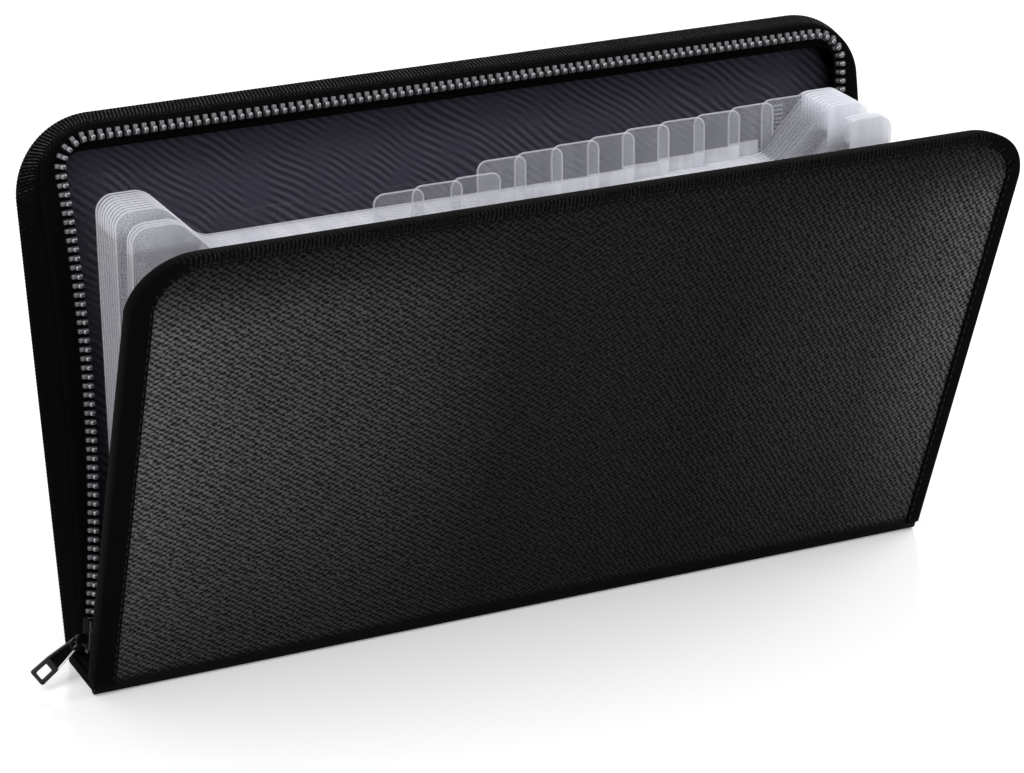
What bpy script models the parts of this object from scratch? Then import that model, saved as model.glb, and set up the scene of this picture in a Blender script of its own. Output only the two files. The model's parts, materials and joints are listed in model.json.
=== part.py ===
# Zip-around expanding file wallet, standing on its spine with its covers leaning apart.
# Frame: X along the spine, Y from the front cover to the back cover, Z up, metres.
# The origin is the middle of the spine's underside. The front of the object faces -Y.

from math import acos, asin, atan2, cos, degrees, hypot, pi, radians, sin, sqrt

import bmesh
import bpy
from mathutils import Matrix, Vector

# Overall sizes of the closed wallet
LENGTH = 0.2700                # along the spine, over the bindings
HEIGHT = 0.1566                # from the table to the top edge of a closed cover
THICKNESS = 0.0280             # outer cloth to outer cloth

# Layers of a cover, from outside to inside
CLOTH = 0.0009
BOARD = 0.0012
LINING = 0.0009
GAP = 0.0003                   # clearance between pieces that touch
TURN_IN = 0.0060               # outer cloth folded in over the board's lower edge
COVER = CLOTH + GAP + BOARD + GAP + LINING
FOLD_RADIUS = COVER / 2
COVER_TOP = HEIGHT - FOLD_RADIUS          # height of a cover's top edge over its fold

# How far the covers lean as photographed, in degrees from upright
FRONT_LEAN = 19.3
BACK_LEAN = 11.2

# Binding on the front cover's edge
BINDING = 0.0005
BINDING_WIDTH = 0.0036         # on the cover's face
BINDING_INNER_WIDTH = 0.0009   # on the zip tape
TAPE_INSET = 0.0010            # the zip tape's outer edge, in from the cover's edge
EDGE_SLOPE_SHARE = 0.50        # the cover's top edge falls this much per unit of depth
FRONT_CORNER = 0.0190
BINDING_FOOT = 0.0022          # height over the fold where edges and zip begin

# Side wall of the back half
BACK_CORNER = 0.0230
BAND_ROUNDING = 0.0070         # rounding between the back and the side wall
BAND_LINING = 0.0006
BAND_TILT_SHARE = 0.42         # the wall's front edge lies this far in towards the teeth

# Zip: its side run is a shallow arc that bows towards the middle of the wallet
ZIP_FOOT_INSET = 0.0043
ZIP_FOOT_HEIGHT = 0.0050       # over the fold
ZIP_SHOULDER_INSET = 0.0110    # at the upper end of the side run
ZIP_BOW = 0.00430              # how far the side run bows in
ZIP_CORNER = 0.0085
ZIP_TOP_INSET = 0.0059
TAPE = 0.0004
TAPE_MARGIN = 0.0002           # tape that shows past the teeth
TOOTH_WIDTH = 0.0025
TOOTH_LENGTH = 0.0030
BEAD_LENGTH = 0.0011           # foot of the teeth on the tape
TOOTH_PITCH = 0.0030
TOOTH_SHARE = 0.52             # of the pitch that a tooth takes
STOP_LENGTH = 0.0018
STOP_LIP = 0.0002

# Zip slider
PLATE = 0.0007
PLATE_CLEARANCE = 0.0008       # between a plate and the teeth, for when only one cover is closed
SLIDER_LENGTH = 0.0085
SLIDER_WIDTH = 0.0064
WEDGE_WIDTH = 0.0014
WEDGE_LENGTH = 0.0024
EAR = 0.0008
EAR_LENGTH = 0.0024
PIN_RADIUS = 0.0006
PIN_DROP = 0.0015              # the pin lies this far below the slider's middle
CUT_OVERRUN = 0.0010

# Zip pull: a flat plate that turns on the slider's pin in its own plane
PULL_LENGTH = 0.0166           # from the pin to the free end
PULL_WIDTH = 0.0058            # at the free end
PULL_NECK_WIDTH = 0.0032
PULL_NECK = 0.0030             # from the pin to where the neck starts to widen
PULL_THICKNESS = 0.0012
PULL_CORNER = 0.0007
PULL_EYE_RADIUS = 0.0014
PULL_EYE_ARC = 100.0           # degrees of the eye's round end on each side
PULL_WINDOW_LENGTH = 0.0044
PULL_RIM = 0.0011
PULL_DROP = 33.0               # degrees below level, lying out to the side

# Accordion
SHEET = 0.0004
POCKETS = 13
FRONT_GROUP = 3                # dividers that go with the front cover
SHEET_SIDE_ROOM = 0.0164       # from a sheet's end to the wallet's end
SHEET_TOP_ROOM = 0.0229        # from the raised ends to the wallet's top
SHEET_HALF = LENGTH / 2 - SHEET_SIDE_ROOM
SHEET_HEIGHT = HEIGHT - SHEET_TOP_ROOM
SHEET_DIP = 0.0160             # how far the middle edge lies below the raised ends
EAR_FLAT = 0.0140              # level top of a raised end
EAR_SLOPE = 0.0160             # run of the slope down to the middle edge
EAR_CORNER = 0.0070
TAB_DROP = 0.0010              # from the raised ends' top down to the tabs' tops
TAB_WIDTH = 0.0155
TAB_FIRST = -0.0400            # middle of the first tab
TAB_LAST_INSET = 0.0200        # from the middle of the last tab to the sheet's end
TAB_CORNER = 0.0030
FLOOR = 0.0004
FRONT_DIVIDER_LEAN_SHARE = 0.160          # of the front cover's lean, foremost divider
FRONT_DIVIDER_STEP_SHARE = 0.005
BACK_DIVIDER_LEAN_SHARE = 0.076           # of the back cover's lean, fourth divider
BACK_DIVIDER_STEP_SHARE = 0.0170

# Gussets: pleated strips that join the sheets' ends
LEAF = 0.0002
LEAF_CLEARANCE = 0.00024
GUSSET_FOOT = 0.0010
GUSSET_TOP_ROOM = 0.0007       # from the gusset's top to where the sheets' ends turn round
GUSSET_TOP_FOLD = 0.0083       # how far the widest pleat still folds in at its top
WIDE_PLEAT_LEVELS = 6

# Spine
SPINE_END_BINDING = 0.0009

# Places worked out from the sizes above
AXIS_Y = THICKNESS / 2 - FOLD_RADIUS      # the folds lie at -AXIS_Y and +AXIS_Y
AXIS_Z = FOLD_RADIUS
SPINE_HALF_DEPTH = AXIS_Y - FOLD_RADIUS - GAP
SPINE_HALF = LENGTH / 2 - BINDING - GAP - SPINE_END_BINDING - 2 * GAP
FRONT_TAPE_DEPTH = COVER + GAP                        # depth from the front face
FRONT_TEETH_BASE = FRONT_TAPE_DEPTH + TAPE + GAP
FRONT_TEETH_TIP = FRONT_TEETH_BASE + TOOTH_LENGTH
ROW_GAP = WEDGE_WIDTH + 2 * GAP                       # between the closed rows' tips
TEETH_TIP = THICKNESS - FRONT_TEETH_TIP - ROW_GAP     # depth from the back face
TEETH_BASE = TEETH_TIP - TOOTH_LENGTH
BAND_DEPTH = TEETH_BASE - GAP - TAPE - GAP            # the side wall's front edge
ZIP_MIDDLE = (TEETH_TIP + THICKNESS - FRONT_TEETH_TIP) / 2     # depth where the rows meet
FLOOR_Z = COVER + GAP
FOOT_Z = FLOOR_Z + FLOOR + GAP            # height of the dividers' feet
SHEET_DEPTH = COVER + GAP + SHEET / 2     # middle of the outer sheets, from a cover's face
SHEET_PITCH = (THICKNESS - 2 * SHEET_DEPTH) / POCKETS
TAB_HEIGHT = SHEET_DIP - TAB_DROP
TAB_PITCH = (SHEET_HALF - TAB_LAST_INSET - TAB_FIRST) / (POCKETS - 2)
GUSSET_TOP = SHEET_HEIGHT - EAR_CORNER - GUSSET_TOP_ROOM
LEAF_OFFSET = SHEET / 2 + LEAF_CLEARANCE + LEAF / 2
LEAF_HALF_FOLD = SHEET_PITCH / 2 - LEAF_OFFSET
WRAP_HALF = SHEET_HALF + GAP + LEAF / 2

CORNER_STEPS = 6
SMALL_CORNER_STEPS = 4
SIDE_STEPS = 6
ROUND_SIDES = 12
SHARP_ANGLE = 35.0             # degrees; flatter edges are shaded smooth


# Scene, materials and placing

def clear_scene():
    for obj in list(bpy.data.objects):
        bpy.data.objects.remove(obj, do_unlink=True)


def new_collection(name):
    collection = bpy.data.collections.new(name)
    bpy.context.scene.collection.children.link(collection)
    return collection


def srgb(code):
    shares = [int(code[i:i + 2], 16) / 255 for i in (0, 2, 4)]
    return [c / 12.92 if c <= 0.04045 else ((c + 0.055) / 1.055) ** 2.4 for c in shares] + [1.0]


LOOKS = {
    "cloth": ("1b1b1d", 0.62, 0.0, 1.0),
    "board": ("8a8378", 0.90, 0.0, 1.0),
    "lining": ("34333c", 0.70, 0.0, 1.0),
    "binding": ("0f0f10", 0.80, 0.0, 1.0),
    "tape": ("0c0c0d", 0.85, 0.0, 1.0),
    "metal": ("8f9092", 0.32, 1.0, 1.0),
    "clear": ("dfe1e6", 0.28, 0.0, 0.45),
}


def finish(obj, look):
    colour, roughness, metallic, alpha = LOOKS[look]
    material = bpy.data.materials.new(obj.name)
    material.use_nodes = True
    shader = material.node_tree.nodes["Principled BSDF"]
    shader.inputs["Base Color"].default_value = srgb(colour)
    shader.inputs["Roughness"].default_value = roughness
    shader.inputs["Metallic"].default_value = metallic
    shader.inputs["Alpha"].default_value = alpha
    obj.data.materials.append(material)
    return obj


def link(obj, collection, parent=None):
    collection.objects.link(obj)
    obj.parent = parent
    return obj


def empty(name, collection, location, rotation=(0, 0, 0), parent=None):
    obj = link(bpy.data.objects.new(name, None), collection, parent)
    obj.location = location
    obj.rotation_euler = rotation
    return obj


class Cover:
    """One half of the wallet. In its own frame X runs along the fold, Z up, and depth in from its face."""

    def __init__(self, empty_obj, outward):
        self.empty = empty_obj
        self.outward = outward

    def y(self, depth):
        return self.outward * (FOLD_RADIUS - depth)


# Outlines

def arc(centre, radius, start, end, steps):
    """Points on an arc about a centre, angles in degrees."""
    points = []
    for i in range(steps + 1):
        angle = radians(start + (end - start) * i / steps)
        points.append((centre[0] + radius * cos(angle), centre[1] + radius * sin(angle)))
    return points


def mirrored(points):
    return [(-x, z) for x, z in reversed(points)]


def cover_outline(half, bottom, top, corner):
    """Closed outline of a cover's layer: square below, round at the two upper corners."""
    right = [(half, bottom)] + arc((half - corner, top - corner), corner, 0, 90, CORNER_STEPS)
    return right + mirrored(right)


def edge_path(half, foot, top, corner, side_steps=1):
    """Left half of a cover's edge, from its foot to the middle of the top: point and inward normal."""
    path = []
    shoulder = top - corner
    for i in range(side_steps):
        path.append((Vector((-half, foot + (shoulder - foot) * i / side_steps)), Vector((1, 0))))
    for x, z in arc((-(half - corner), shoulder), corner, 180, 90, CORNER_STEPS):
        centre = Vector((-(half - corner), shoulder))
        point = Vector((x, z))
        path.append((point, (centre - point).normalized()))
    path.append((Vector((0, top)), Vector((0, -1))))
    return path


class ZipPath:
    """The line of the zip on its left half: a shallow side arc, a tight corner and the top run."""

    def __init__(self):
        top = COVER_TOP - ZIP_TOP_INSET
        self.foot = Vector((-(LENGTH / 2 - ZIP_FOOT_INSET), ZIP_FOOT_HEIGHT))
        shoulder_x = -(LENGTH / 2 - ZIP_SHOULDER_INSET)
        shoulder_z = top - ZIP_CORNER
        for _ in range(4):
            chord = Vector((shoulder_x, shoulder_z)) - self.foot
            half = chord.length / 2
            self.radius = (half * half + ZIP_BOW * ZIP_BOW) / (2 * ZIP_BOW)
            lean_out = asin(half / self.radius) - atan2(chord.x, chord.y)
            shoulder_z = top - ZIP_CORNER * (1 + sin(lean_out))
        self.shoulder = Vector((shoulder_x, shoulder_z))
        middle = (self.foot + self.shoulder) / 2
        outward = Vector((-chord.y, chord.x)).normalized()
        self.centre = middle + outward * (self.radius - ZIP_BOW)
        self.foot_angle = atan2(self.foot.y - self.centre.y, self.foot.x - self.centre.x)
        shoulder_angle = atan2(self.shoulder.y - self.centre.y, self.shoulder.x - self.centre.x)
        self.side_length = self.radius * (shoulder_angle - self.foot_angle)
        self.lean_out = lean_out
        inward = Vector((cos(lean_out), sin(lean_out)))
        self.corner_centre = self.shoulder + inward * ZIP_CORNER
        self.corner_turn = pi / 2 + lean_out
        self.corner_length = ZIP_CORNER * self.corner_turn
        self.half_length = self.side_length + self.corner_length - self.corner_centre.x

    def at(self, distance):
        """Point and inward normal at a distance along the left half, measured from the foot of the teeth."""
        if distance <= self.side_length:
            angle = self.foot_angle + distance / self.radius
            away = Vector((cos(angle), sin(angle)))
            return self.centre + away * self.radius, away
        if distance <= self.side_length + self.corner_length:
            turned = (distance - self.side_length) / ZIP_CORNER
            inward = Vector((cos(self.lean_out - turned), sin(self.lean_out - turned)))
            return self.corner_centre - inward * ZIP_CORNER, inward
        along = distance - self.side_length - self.corner_length
        return self.corner_centre + Vector((along, ZIP_CORNER)), Vector((0, -1))

    def whole(self, distance):
        """The same for the whole run from the left foot to the right foot."""
        if distance <= self.half_length:
            return self.at(distance)
        point, inward = self.at(2 * self.half_length - distance)
        return Vector((-point.x, point.y)), Vector((-inward.x, inward.y))

    def matched(self, foot_distance):
        """Stations on the left half that pair off with those of edge_path(..., side_steps=SIDE_STEPS)."""
        stations = []
        for i in range(SIDE_STEPS):
            stations.append(self.at(foot_distance + (self.side_length - foot_distance) * i / SIDE_STEPS))
        for i in range(CORNER_STEPS + 1):
            stations.append(self.at(self.side_length + self.corner_length * i / CORNER_STEPS))
        stations.append(self.at(self.half_length))
        return stations


# Builders

def flat(name, outlines, thickness, look, collection, parent, y, z=0.0):
    """A flat piece standing in the XZ plane: a filled 2D curve with some thickness."""
    curve = bpy.data.curves.new(name, "CURVE")
    curve.dimensions = "2D"
    curve.fill_mode = "BOTH"
    curve.extrude = thickness / 2
    for outline in outlines:
        spline = curve.splines.new("POLY")
        spline.points.add(len(outline) - 1)
        for point, (across, up) in zip(spline.points, outline):
            point.co = (across, up, 0, 1)
        spline.use_cyclic_u = True
    obj = link(bpy.data.objects.new(name, curve), collection, parent)
    obj.rotation_euler = (pi / 2, 0, 0)
    obj.location = (0, y, z)
    return finish(obj, look)


def block(name, low, high, look, collection, parent=None):
    """A box between two corners."""
    low, high = Vector(low), Vector(high)
    mesh = bpy.data.meshes.new(name)
    shape = bmesh.new()
    bmesh.ops.create_cube(shape, size=1)
    bmesh.ops.scale(shape, vec=high - low, verts=shape.verts)
    shape.to_mesh(mesh)
    shape.free()
    obj = link(bpy.data.objects.new(name, mesh), collection, parent)
    obj.location = (low + high) / 2
    return finish(obj, look) if look else obj


def smooth(mesh):
    mesh.shade_smooth()
    mesh.set_sharp_from_angle(angle=radians(SHARP_ANGLE))


def solidify(obj, thickness):
    modifier = obj.modifiers.new("Solidify", "SOLIDIFY")
    modifier.thickness = thickness
    modifier.offset = 0
    modifier.use_even_offset = True
    return obj


def strip(name, rows, thickness, look, collection, parent=None, mirror=False):
    """A bent sheet through rows of points, with some thickness."""
    mesh = bpy.data.meshes.new(name)
    shape = bmesh.new()
    grid = [[shape.verts.new(point) for point in row] for row in rows]
    for row, following in zip(grid, grid[1:]):
        for i in range(len(row) - 1):
            shape.faces.new((row[i], row[i + 1], following[i + 1], following[i]))
    bmesh.ops.recalc_face_normals(shape, faces=shape.faces)
    shape.to_mesh(mesh)
    shape.free()
    smooth(mesh)
    obj = link(bpy.data.objects.new(name, mesh), collection, parent)
    if mirror:
        modifier = obj.modifiers.new("Mirror", "MIRROR")
        modifier.merge_threshold = 0.0001
    solidify(obj, thickness)
    return finish(obj, look)


def boolean(obj, other, operation):
    other.hide_render = True
    other.display_type = "WIRE"
    modifier = obj.modifiers.new(other.name, "BOOLEAN")
    modifier.operation = operation
    modifier.solver = "EXACT"
    modifier.object = other


def cylinder(name, radius, length, sides, collection, parent):
    """A cylinder along Y about its own origin."""
    mesh = bpy.data.meshes.new(name)
    shape = bmesh.new()
    bmesh.ops.create_cone(shape, cap_ends=True, segments=sides, radius1=radius, radius2=radius, depth=length)
    bmesh.ops.rotate(shape, verts=shape.verts, cent=(0, 0, 0), matrix=Matrix.Rotation(pi / 2, 3, "X"))
    shape.to_mesh(mesh)
    shape.free()
    smooth(mesh)
    return link(bpy.data.objects.new(name, mesh), collection, parent)


# Layers of a cover

def cover_cloth(name, cover, half, top, corner, collection):
    """Outer cloth: the face, turned round the fold and up over the board's lower edge."""
    mesh = bpy.data.meshes.new(name)
    shape = bmesh.new()
    y = cover.y(CLOTH / 2)
    face = shape.faces.new([shape.verts.new((x, y, z)) for x, z in cover_outline(half, 0, top, corner)])
    edge = next(e for e in face.edges if all(v.co.z < FOLD_RADIUS for v in e.verts))
    turned = bmesh.ops.spin(shape, geom=[edge] + list(edge.verts), cent=(0, 0, 0), axis=(1, 0, 0),
                            angle=pi if cover.outward < 0 else -pi, steps=CORNER_STEPS, use_duplicate=False)
    last = [item for item in turned["geom_last"] if isinstance(item, bmesh.types.BMEdge)]
    raised = bmesh.ops.extrude_edge_only(shape, edges=last)
    verts = [item for item in raised["geom"] if isinstance(item, bmesh.types.BMVert)]
    bmesh.ops.translate(shape, verts=verts, vec=(0, 0, TURN_IN))
    bmesh.ops.recalc_face_normals(shape, faces=shape.faces)
    shape.to_mesh(mesh)
    shape.free()
    smooth(mesh)
    obj = link(bpy.data.objects.new(name, mesh), collection, cover.empty)
    return finish(solidify(obj, CLOTH), "cloth")


def slope_inset(depth, slope):
    """How much lower than the outer face a layer ends where the top edge slopes, at its inner depth."""
    skin = GAP + BINDING / 2
    return slope * depth + skin * (slope - 1 + sqrt(1 + slope * slope))


def cover_layers(prefix, cover, half, top, corner, slope, collection):
    """Cloth, board and lining of one cover."""
    board_depth, lining_depth = CLOTH + GAP, COVER - LINING
    cover_cloth(prefix + "_cloth", cover, half, top - slope_inset(CLOTH, slope), corner, collection)
    top -= GAP
    half -= GAP
    corner -= GAP
    board = cover_outline(half, 0, top - slope_inset(board_depth + BOARD, slope), corner)
    flat(prefix + "_board", [board], BOARD, "board", collection, cover.empty,
         cover.y(board_depth + BOARD / 2))
    lining = cover_outline(half, TURN_IN + GAP, top - slope_inset(COVER, slope), corner)
    flat(prefix + "_lining", [lining], LINING, "lining", collection, cover.empty,
         cover.y(lining_depth + LINING / 2))


def front_binding(cover, half, top, corner, collection):
    """Folded tape over the front cover's edge, from its face to the back of the zip tape."""
    outer = -(GAP + BINDING / 2)
    inner = FRONT_TEETH_BASE + BINDING / 2
    rows = []
    for point, inward in edge_path(half, BINDING_FOOT, top, corner):
        at_top = -inward.y
        rim = point + inward * outer
        back = rim + inward * (EDGE_SLOPE_SHARE * (inner - outer) * at_top)
        leg = back + inward * ((BINDING_INNER_WIDTH - outer) * (1 - at_top) + BINDING * at_top)
        section = [(point + inward * BINDING_WIDTH, outer), (rim, outer), (back, inner), (leg, inner)]
        rows.append([(p.x, cover.y(depth), p.y) for p, depth in section])
    strip("front_binding", rows, BINDING, "binding", collection, cover.empty, mirror=True)


def side_band(cover, zip_path, foot_distance, collection):
    """Woven wall of the back half: rounded where it leaves the back, tilted in towards the teeth."""
    edge = edge_path(LENGTH / 2, BINDING_FOOT, COVER_TOP, BACK_CORNER, side_steps=SIDE_STEPS)
    teeth = zip_path.matched(foot_distance)
    lining_radius = BAND_ROUNDING - CLOTH - GAP - BAND_LINING / 2
    lining_depth = COVER - LINING / 2
    lining_angle = degrees(asin((BAND_ROUNDING - lining_depth) / lining_radius))
    centre = (BAND_ROUNDING, BAND_ROUNDING)
    wall_section = arc(centre, BAND_ROUNDING - CLOTH / 2, 270, 180, SMALL_CORNER_STEPS)
    lining_section = [(BAND_ROUNDING, lining_depth)]
    lining_section += arc(centre, lining_radius, 180 + lining_angle, 180, SMALL_CORNER_STEPS - 1)
    wall_rows, lining_rows = [], []
    for (point, inward), (tooth, _) in zip(edge, teeth):
        front = point.lerp(tooth, BAND_TILT_SHARE)
        for rows, section, inset in ((wall_rows, wall_section, CLOTH / 2),
                                     (lining_rows, lining_section, CLOTH + GAP + BAND_LINING / 2)):
            row = [(point + inward * across, depth) for across, depth in section]
            row.append((front + inward * inset, BAND_DEPTH))
            rows.append([(p.x, cover.y(depth), p.y) for p, depth in row])
    strip("side_band", wall_rows, CLOTH, "binding", collection, cover.empty, mirror=True)
    strip("side_band_lining", lining_rows, BAND_LINING, "lining", collection, cover.empty, mirror=True)


# Zip

def tape_outline(outer_path, zip_path, foot_distance):
    """A flat ring open at the spine, from an outer edge to just past the teeth."""
    inner = [point + inward * (TOOTH_WIDTH / 2 + TAPE_MARGIN)
             for point, inward in zip_path.matched(foot_distance)[:-1]]
    outer = [(p.x, p.y) for p in outer_path]
    inner = [(p.x, p.y) for p in inner]
    ring = outer + mirrored(outer)
    back = inner + mirrored(inner)
    return ring + list(reversed(back))


def teeth_row(name, cover, zip_path, base, collection, half_step):
    """A bead along the tape's edge with every other stretch drawn out into a tooth."""
    length = 2 * zip_path.half_length
    count = int(length / TOOTH_PITCH)
    start = (length - (count - 1) * TOOTH_PITCH - TOOTH_SHARE * TOOTH_PITCH) / 2
    if half_step:
        count -= 1
        start += TOOTH_PITCH / 2
    stations = [0]
    for i in range(count):
        stations += [start + i * TOOTH_PITCH, start + (i + TOOTH_SHARE) * TOOTH_PITCH]
    stations.append(length)
    bead_top = base + BEAD_LENGTH
    tip_travel = cover.y(base + TOOTH_LENGTH) - cover.y(bead_top)
    mesh = bpy.data.meshes.new(name)
    shape = bmesh.new()
    rings = []
    for distance in stations:
        point, inward = zip_path.whole(distance)
        side = inward * (TOOTH_WIDTH / 2)
        outer, inner = point - side, point + side
        corners = [(outer, base), (inner, base), (inner, bead_top), (outer, bead_top)]
        rings.append([shape.verts.new((p.x, cover.y(depth), p.y)) for p, depth in corners])
    tops = []
    for i, (ring, following) in enumerate(zip(rings, rings[1:])):
        for j in range(4):
            k = (j + 1) % 4
            quad = shape.faces.new((ring[j], ring[k], following[k], following[j]))
            if j == 2 and i % 2 == 1:
                tops.append(quad)
    shape.faces.new(reversed(rings[0]))
    shape.faces.new(rings[-1])
    bmesh.ops.recalc_face_normals(shape, faces=shape.faces)
    drawn = bmesh.ops.extrude_discrete_faces(shape, faces=tops)
    verts = {vert for quad in drawn["faces"] for vert in quad.verts}
    bmesh.ops.translate(shape, verts=list(verts), vec=(0, tip_travel, 0))
    shape.to_mesh(mesh)
    shape.free()
    return finish(link(bpy.data.objects.new(name, mesh), collection, cover.empty), "metal")


def zip_stop(name, cover, zip_path, base, side, collection):
    """Metal stop on the tape just past the end of the teeth."""
    point, inward = zip_path.at(-GAP - STOP_LENGTH / 2)
    width = TOOTH_WIDTH + 2 * STOP_LIP
    size = Vector((width, TOOTH_LENGTH - STOP_LIP, STOP_LENGTH))
    obj = block(name, -size / 2, size / 2, "metal", collection, cover.empty)
    obj.location = (-side * point.x, cover.y(base + size.y / 2), point.y)
    obj.rotation_euler = (0, side * atan2(inward.y, inward.x), 0)


def zip_half(prefix, cover, zip_path, foot_distance, tape_depth, outer_path, half_step, collection):
    """Tape, teeth and end stops of one half."""
    outline = tape_outline(outer_path, zip_path, foot_distance)
    flat(prefix + "_zip_tape", [outline], TAPE, "tape", collection, cover.empty,
         cover.y(tape_depth + TAPE / 2))
    base = tape_depth + TAPE + GAP
    teeth_row(prefix + "_zip_teeth", cover, zip_path, base, collection, half_step)
    zip_stop(prefix + "_stop_left", cover, zip_path, base, -1, collection)
    zip_stop(prefix + "_stop_right", cover, zip_path, base, 1, collection)


def slider(cover, zip_path, collection, cutters):
    """Slider at the lower left, on an empty at the centre of the zip's side arc."""
    axis = empty("zip_slider_axis", collection,
                 (zip_path.centre.x, cover.y(ZIP_MIDDLE), zip_path.centre.y), parent=cover.empty)
    angle = zip_path.foot_angle + SLIDER_LENGTH / 2 / zip_path.radius
    place = Vector((cos(angle), 0, sin(angle))) * zip_path.radius
    channel = TOOTH_WIDTH / 2 + PLATE_CLEARANCE
    face = channel + PLATE
    half_width = SLIDER_WIDTH / 2
    half_length = SLIDER_LENGTH / 2
    wedge_foot = half_length - WEDGE_LENGTH
    body = block("zip_slider", (-face, -half_width, -half_length), (face, half_width, half_length),
                 "metal", collection, axis)
    body.location = place
    body.rotation_euler = (0, -angle, 0)
    holder = empty("zip_slider_frame", collection, place, (0, -angle, 0), axis)
    over = CUT_OVERRUN
    low = block("slider_channel_cut", (-channel, -half_width - over, -half_length - over),
                (channel, half_width + over, wedge_foot), None, cutters, holder)
    boolean(body, low, "DIFFERENCE")
    for name, side in (("slider_rear_cut", 1), ("slider_fore_cut", -1)):
        near, far = side * WEDGE_WIDTH / 2, side * (half_width + over)
        cut = block(name, (-channel, min(near, far), wedge_foot - over),
                    (channel, max(near, far), half_length + over), None, cutters, holder)
        boolean(body, cut, "DIFFERENCE")
    pin_x = -(face + GAP + PULL_EYE_RADIUS)
    ear_inner = PULL_THICKNESS / 2 + GAP
    for name, side in (("slider_rear_ear", 1), ("slider_fore_ear", -1)):
        near, far = side * ear_inner, side * (ear_inner + EAR)
        ear = block(name, (pin_x - 2 * PIN_RADIUS, min(near, far), -PIN_DROP - EAR_LENGTH / 2),
                    (-face + PLATE / 2, max(near, far), -PIN_DROP + EAR_LENGTH / 2), None, cutters, holder)
        boolean(body, ear, "UNION")
    pin = cylinder("slider_pin", PIN_RADIUS, 2 * ear_inner + EAR, ROUND_SIDES, cutters, holder)
    pin.location = (pin_x, 0, -PIN_DROP)
    boolean(body, pin, "UNION")
    return holder, pin.location, angle


def pull(holder, pin, tilt, collection):
    """Flat plate with an eye on the slider's pin and an open window at its free end."""
    axis = empty("zip_pull_axis", collection, pin, (0, tilt - radians(PULL_DROP), 0), holder)
    half, neck = PULL_WIDTH / 2, PULL_NECK_WIDTH / 2
    eye = arc((0, 0), PULL_EYE_RADIUS, -PULL_EYE_ARC, PULL_EYE_ARC, ROUND_SIDES)
    ends = [(-PULL_NECK, neck), (-PULL_LENGTH, half), (-PULL_LENGTH, -half), (-PULL_NECK, -neck)]
    outline = rounded(eye + ends, [0] * len(eye) + [0, PULL_CORNER, PULL_CORNER, 0])
    hole = arc((0, 0), PIN_RADIUS + GAP, 0, 360, ROUND_SIDES)[:-1]
    window_half, window_end = half - PULL_RIM, PULL_RIM - PULL_LENGTH
    window_start = window_end + PULL_WINDOW_LENGTH
    window = [(window_end, -window_half), (window_start, -window_half), (window_start, window_half),
              (window_end, window_half)]
    flat("zip_pull", [outline, hole, window], PULL_THICKNESS, "metal", collection, axis, 0)


# Accordion

def rounded_corner(corner, before, after, radius):
    """Points that round off a corner between two neighbouring points."""
    corner, before, after = Vector(corner), Vector(before), Vector(after)
    to_before = (before - corner).normalized()
    to_after = (after - corner).normalized()
    half_angle = acos(max(-1, min(1, to_before.dot(to_after)))) / 2
    reach = radius / (sin(half_angle) / cos(half_angle))
    centre = corner + (to_before + to_after).normalized() * (radius / sin(half_angle))
    start = corner + to_before * reach - centre
    turn = pi - 2 * half_angle
    if to_before.x * to_after.y - to_before.y * to_after.x > 0:
        turn = -turn
    points = []
    for i in range(SMALL_CORNER_STEPS + 1):
        angle = turn * i / SMALL_CORNER_STEPS
        points.append((centre.x + start.x * cos(angle) - start.y * sin(angle),
                       centre.y + start.x * sin(angle) + start.y * cos(angle)))
    return points


def rounded(points, radii):
    """An outline with chosen corners rounded off."""
    outline = []
    for i, (point, radius) in enumerate(zip(points, radii)):
        if radius:
            outline += rounded_corner(point, points[i - 1], points[(i + 1) % len(points)], radius)
        else:
            outline.append(point)
    return outline


def sheet_outline(tab=None):
    """A sheet with raised ends, a lower middle edge and, on a divider, one tab."""
    dip = SHEET_HEIGHT - SHEET_DIP
    tab_top = dip + TAB_HEIGHT
    ear = SHEET_HALF - EAR_FLAT
    slope = ear - EAR_SLOPE
    points = [(-SHEET_HALF, 0), (SHEET_HALF, 0), (SHEET_HALF, SHEET_HEIGHT), (ear, SHEET_HEIGHT)]
    radii = [0, 0, EAR_CORNER, TAB_CORNER]
    low, high = (tab - TAB_WIDTH / 2, tab + TAB_WIDTH / 2) if tab is not None else (0, 0)
    if high < slope:
        points += [(slope, dip)]
        radii += [TAB_CORNER]
    if tab is not None:
        up_slope = dip + SHEET_DIP * max(0, high - slope) / EAR_SLOPE
        if up_slope < tab_top:
            points += [(high, up_slope), (high, tab_top)]
            radii += [0, TAB_CORNER]
        else:
            points += [(ear - EAR_SLOPE * (SHEET_DIP - TAB_HEIGHT) / SHEET_DIP, tab_top)]
            radii += [0]
        points += [(low, tab_top), (low, dip)]
        radii += [TAB_CORNER, 0]
    points += [(-slope, dip), (-ear, SHEET_HEIGHT), (-SHEET_HALF, SHEET_HEIGHT)]
    radii += [TAB_CORNER, TAB_CORNER, EAR_CORNER]
    return rounded(points, radii)


def divider_lean(number):
    """Degrees that a divider leans to the front, worked out from the lean of the cover that it follows."""
    if number <= FRONT_GROUP:
        return FRONT_LEAN * (FRONT_DIVIDER_LEAN_SHARE - FRONT_DIVIDER_STEP_SHARE * (number - 1))
    step = number - FRONT_GROUP - 1
    return -BACK_LEAN * (BACK_DIVIDER_LEAN_SHARE + BACK_DIVIDER_STEP_SHARE * step)


def divider_y(number):
    return -THICKNESS / 2 + SHEET_DEPTH + SHEET_PITCH * number


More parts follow.
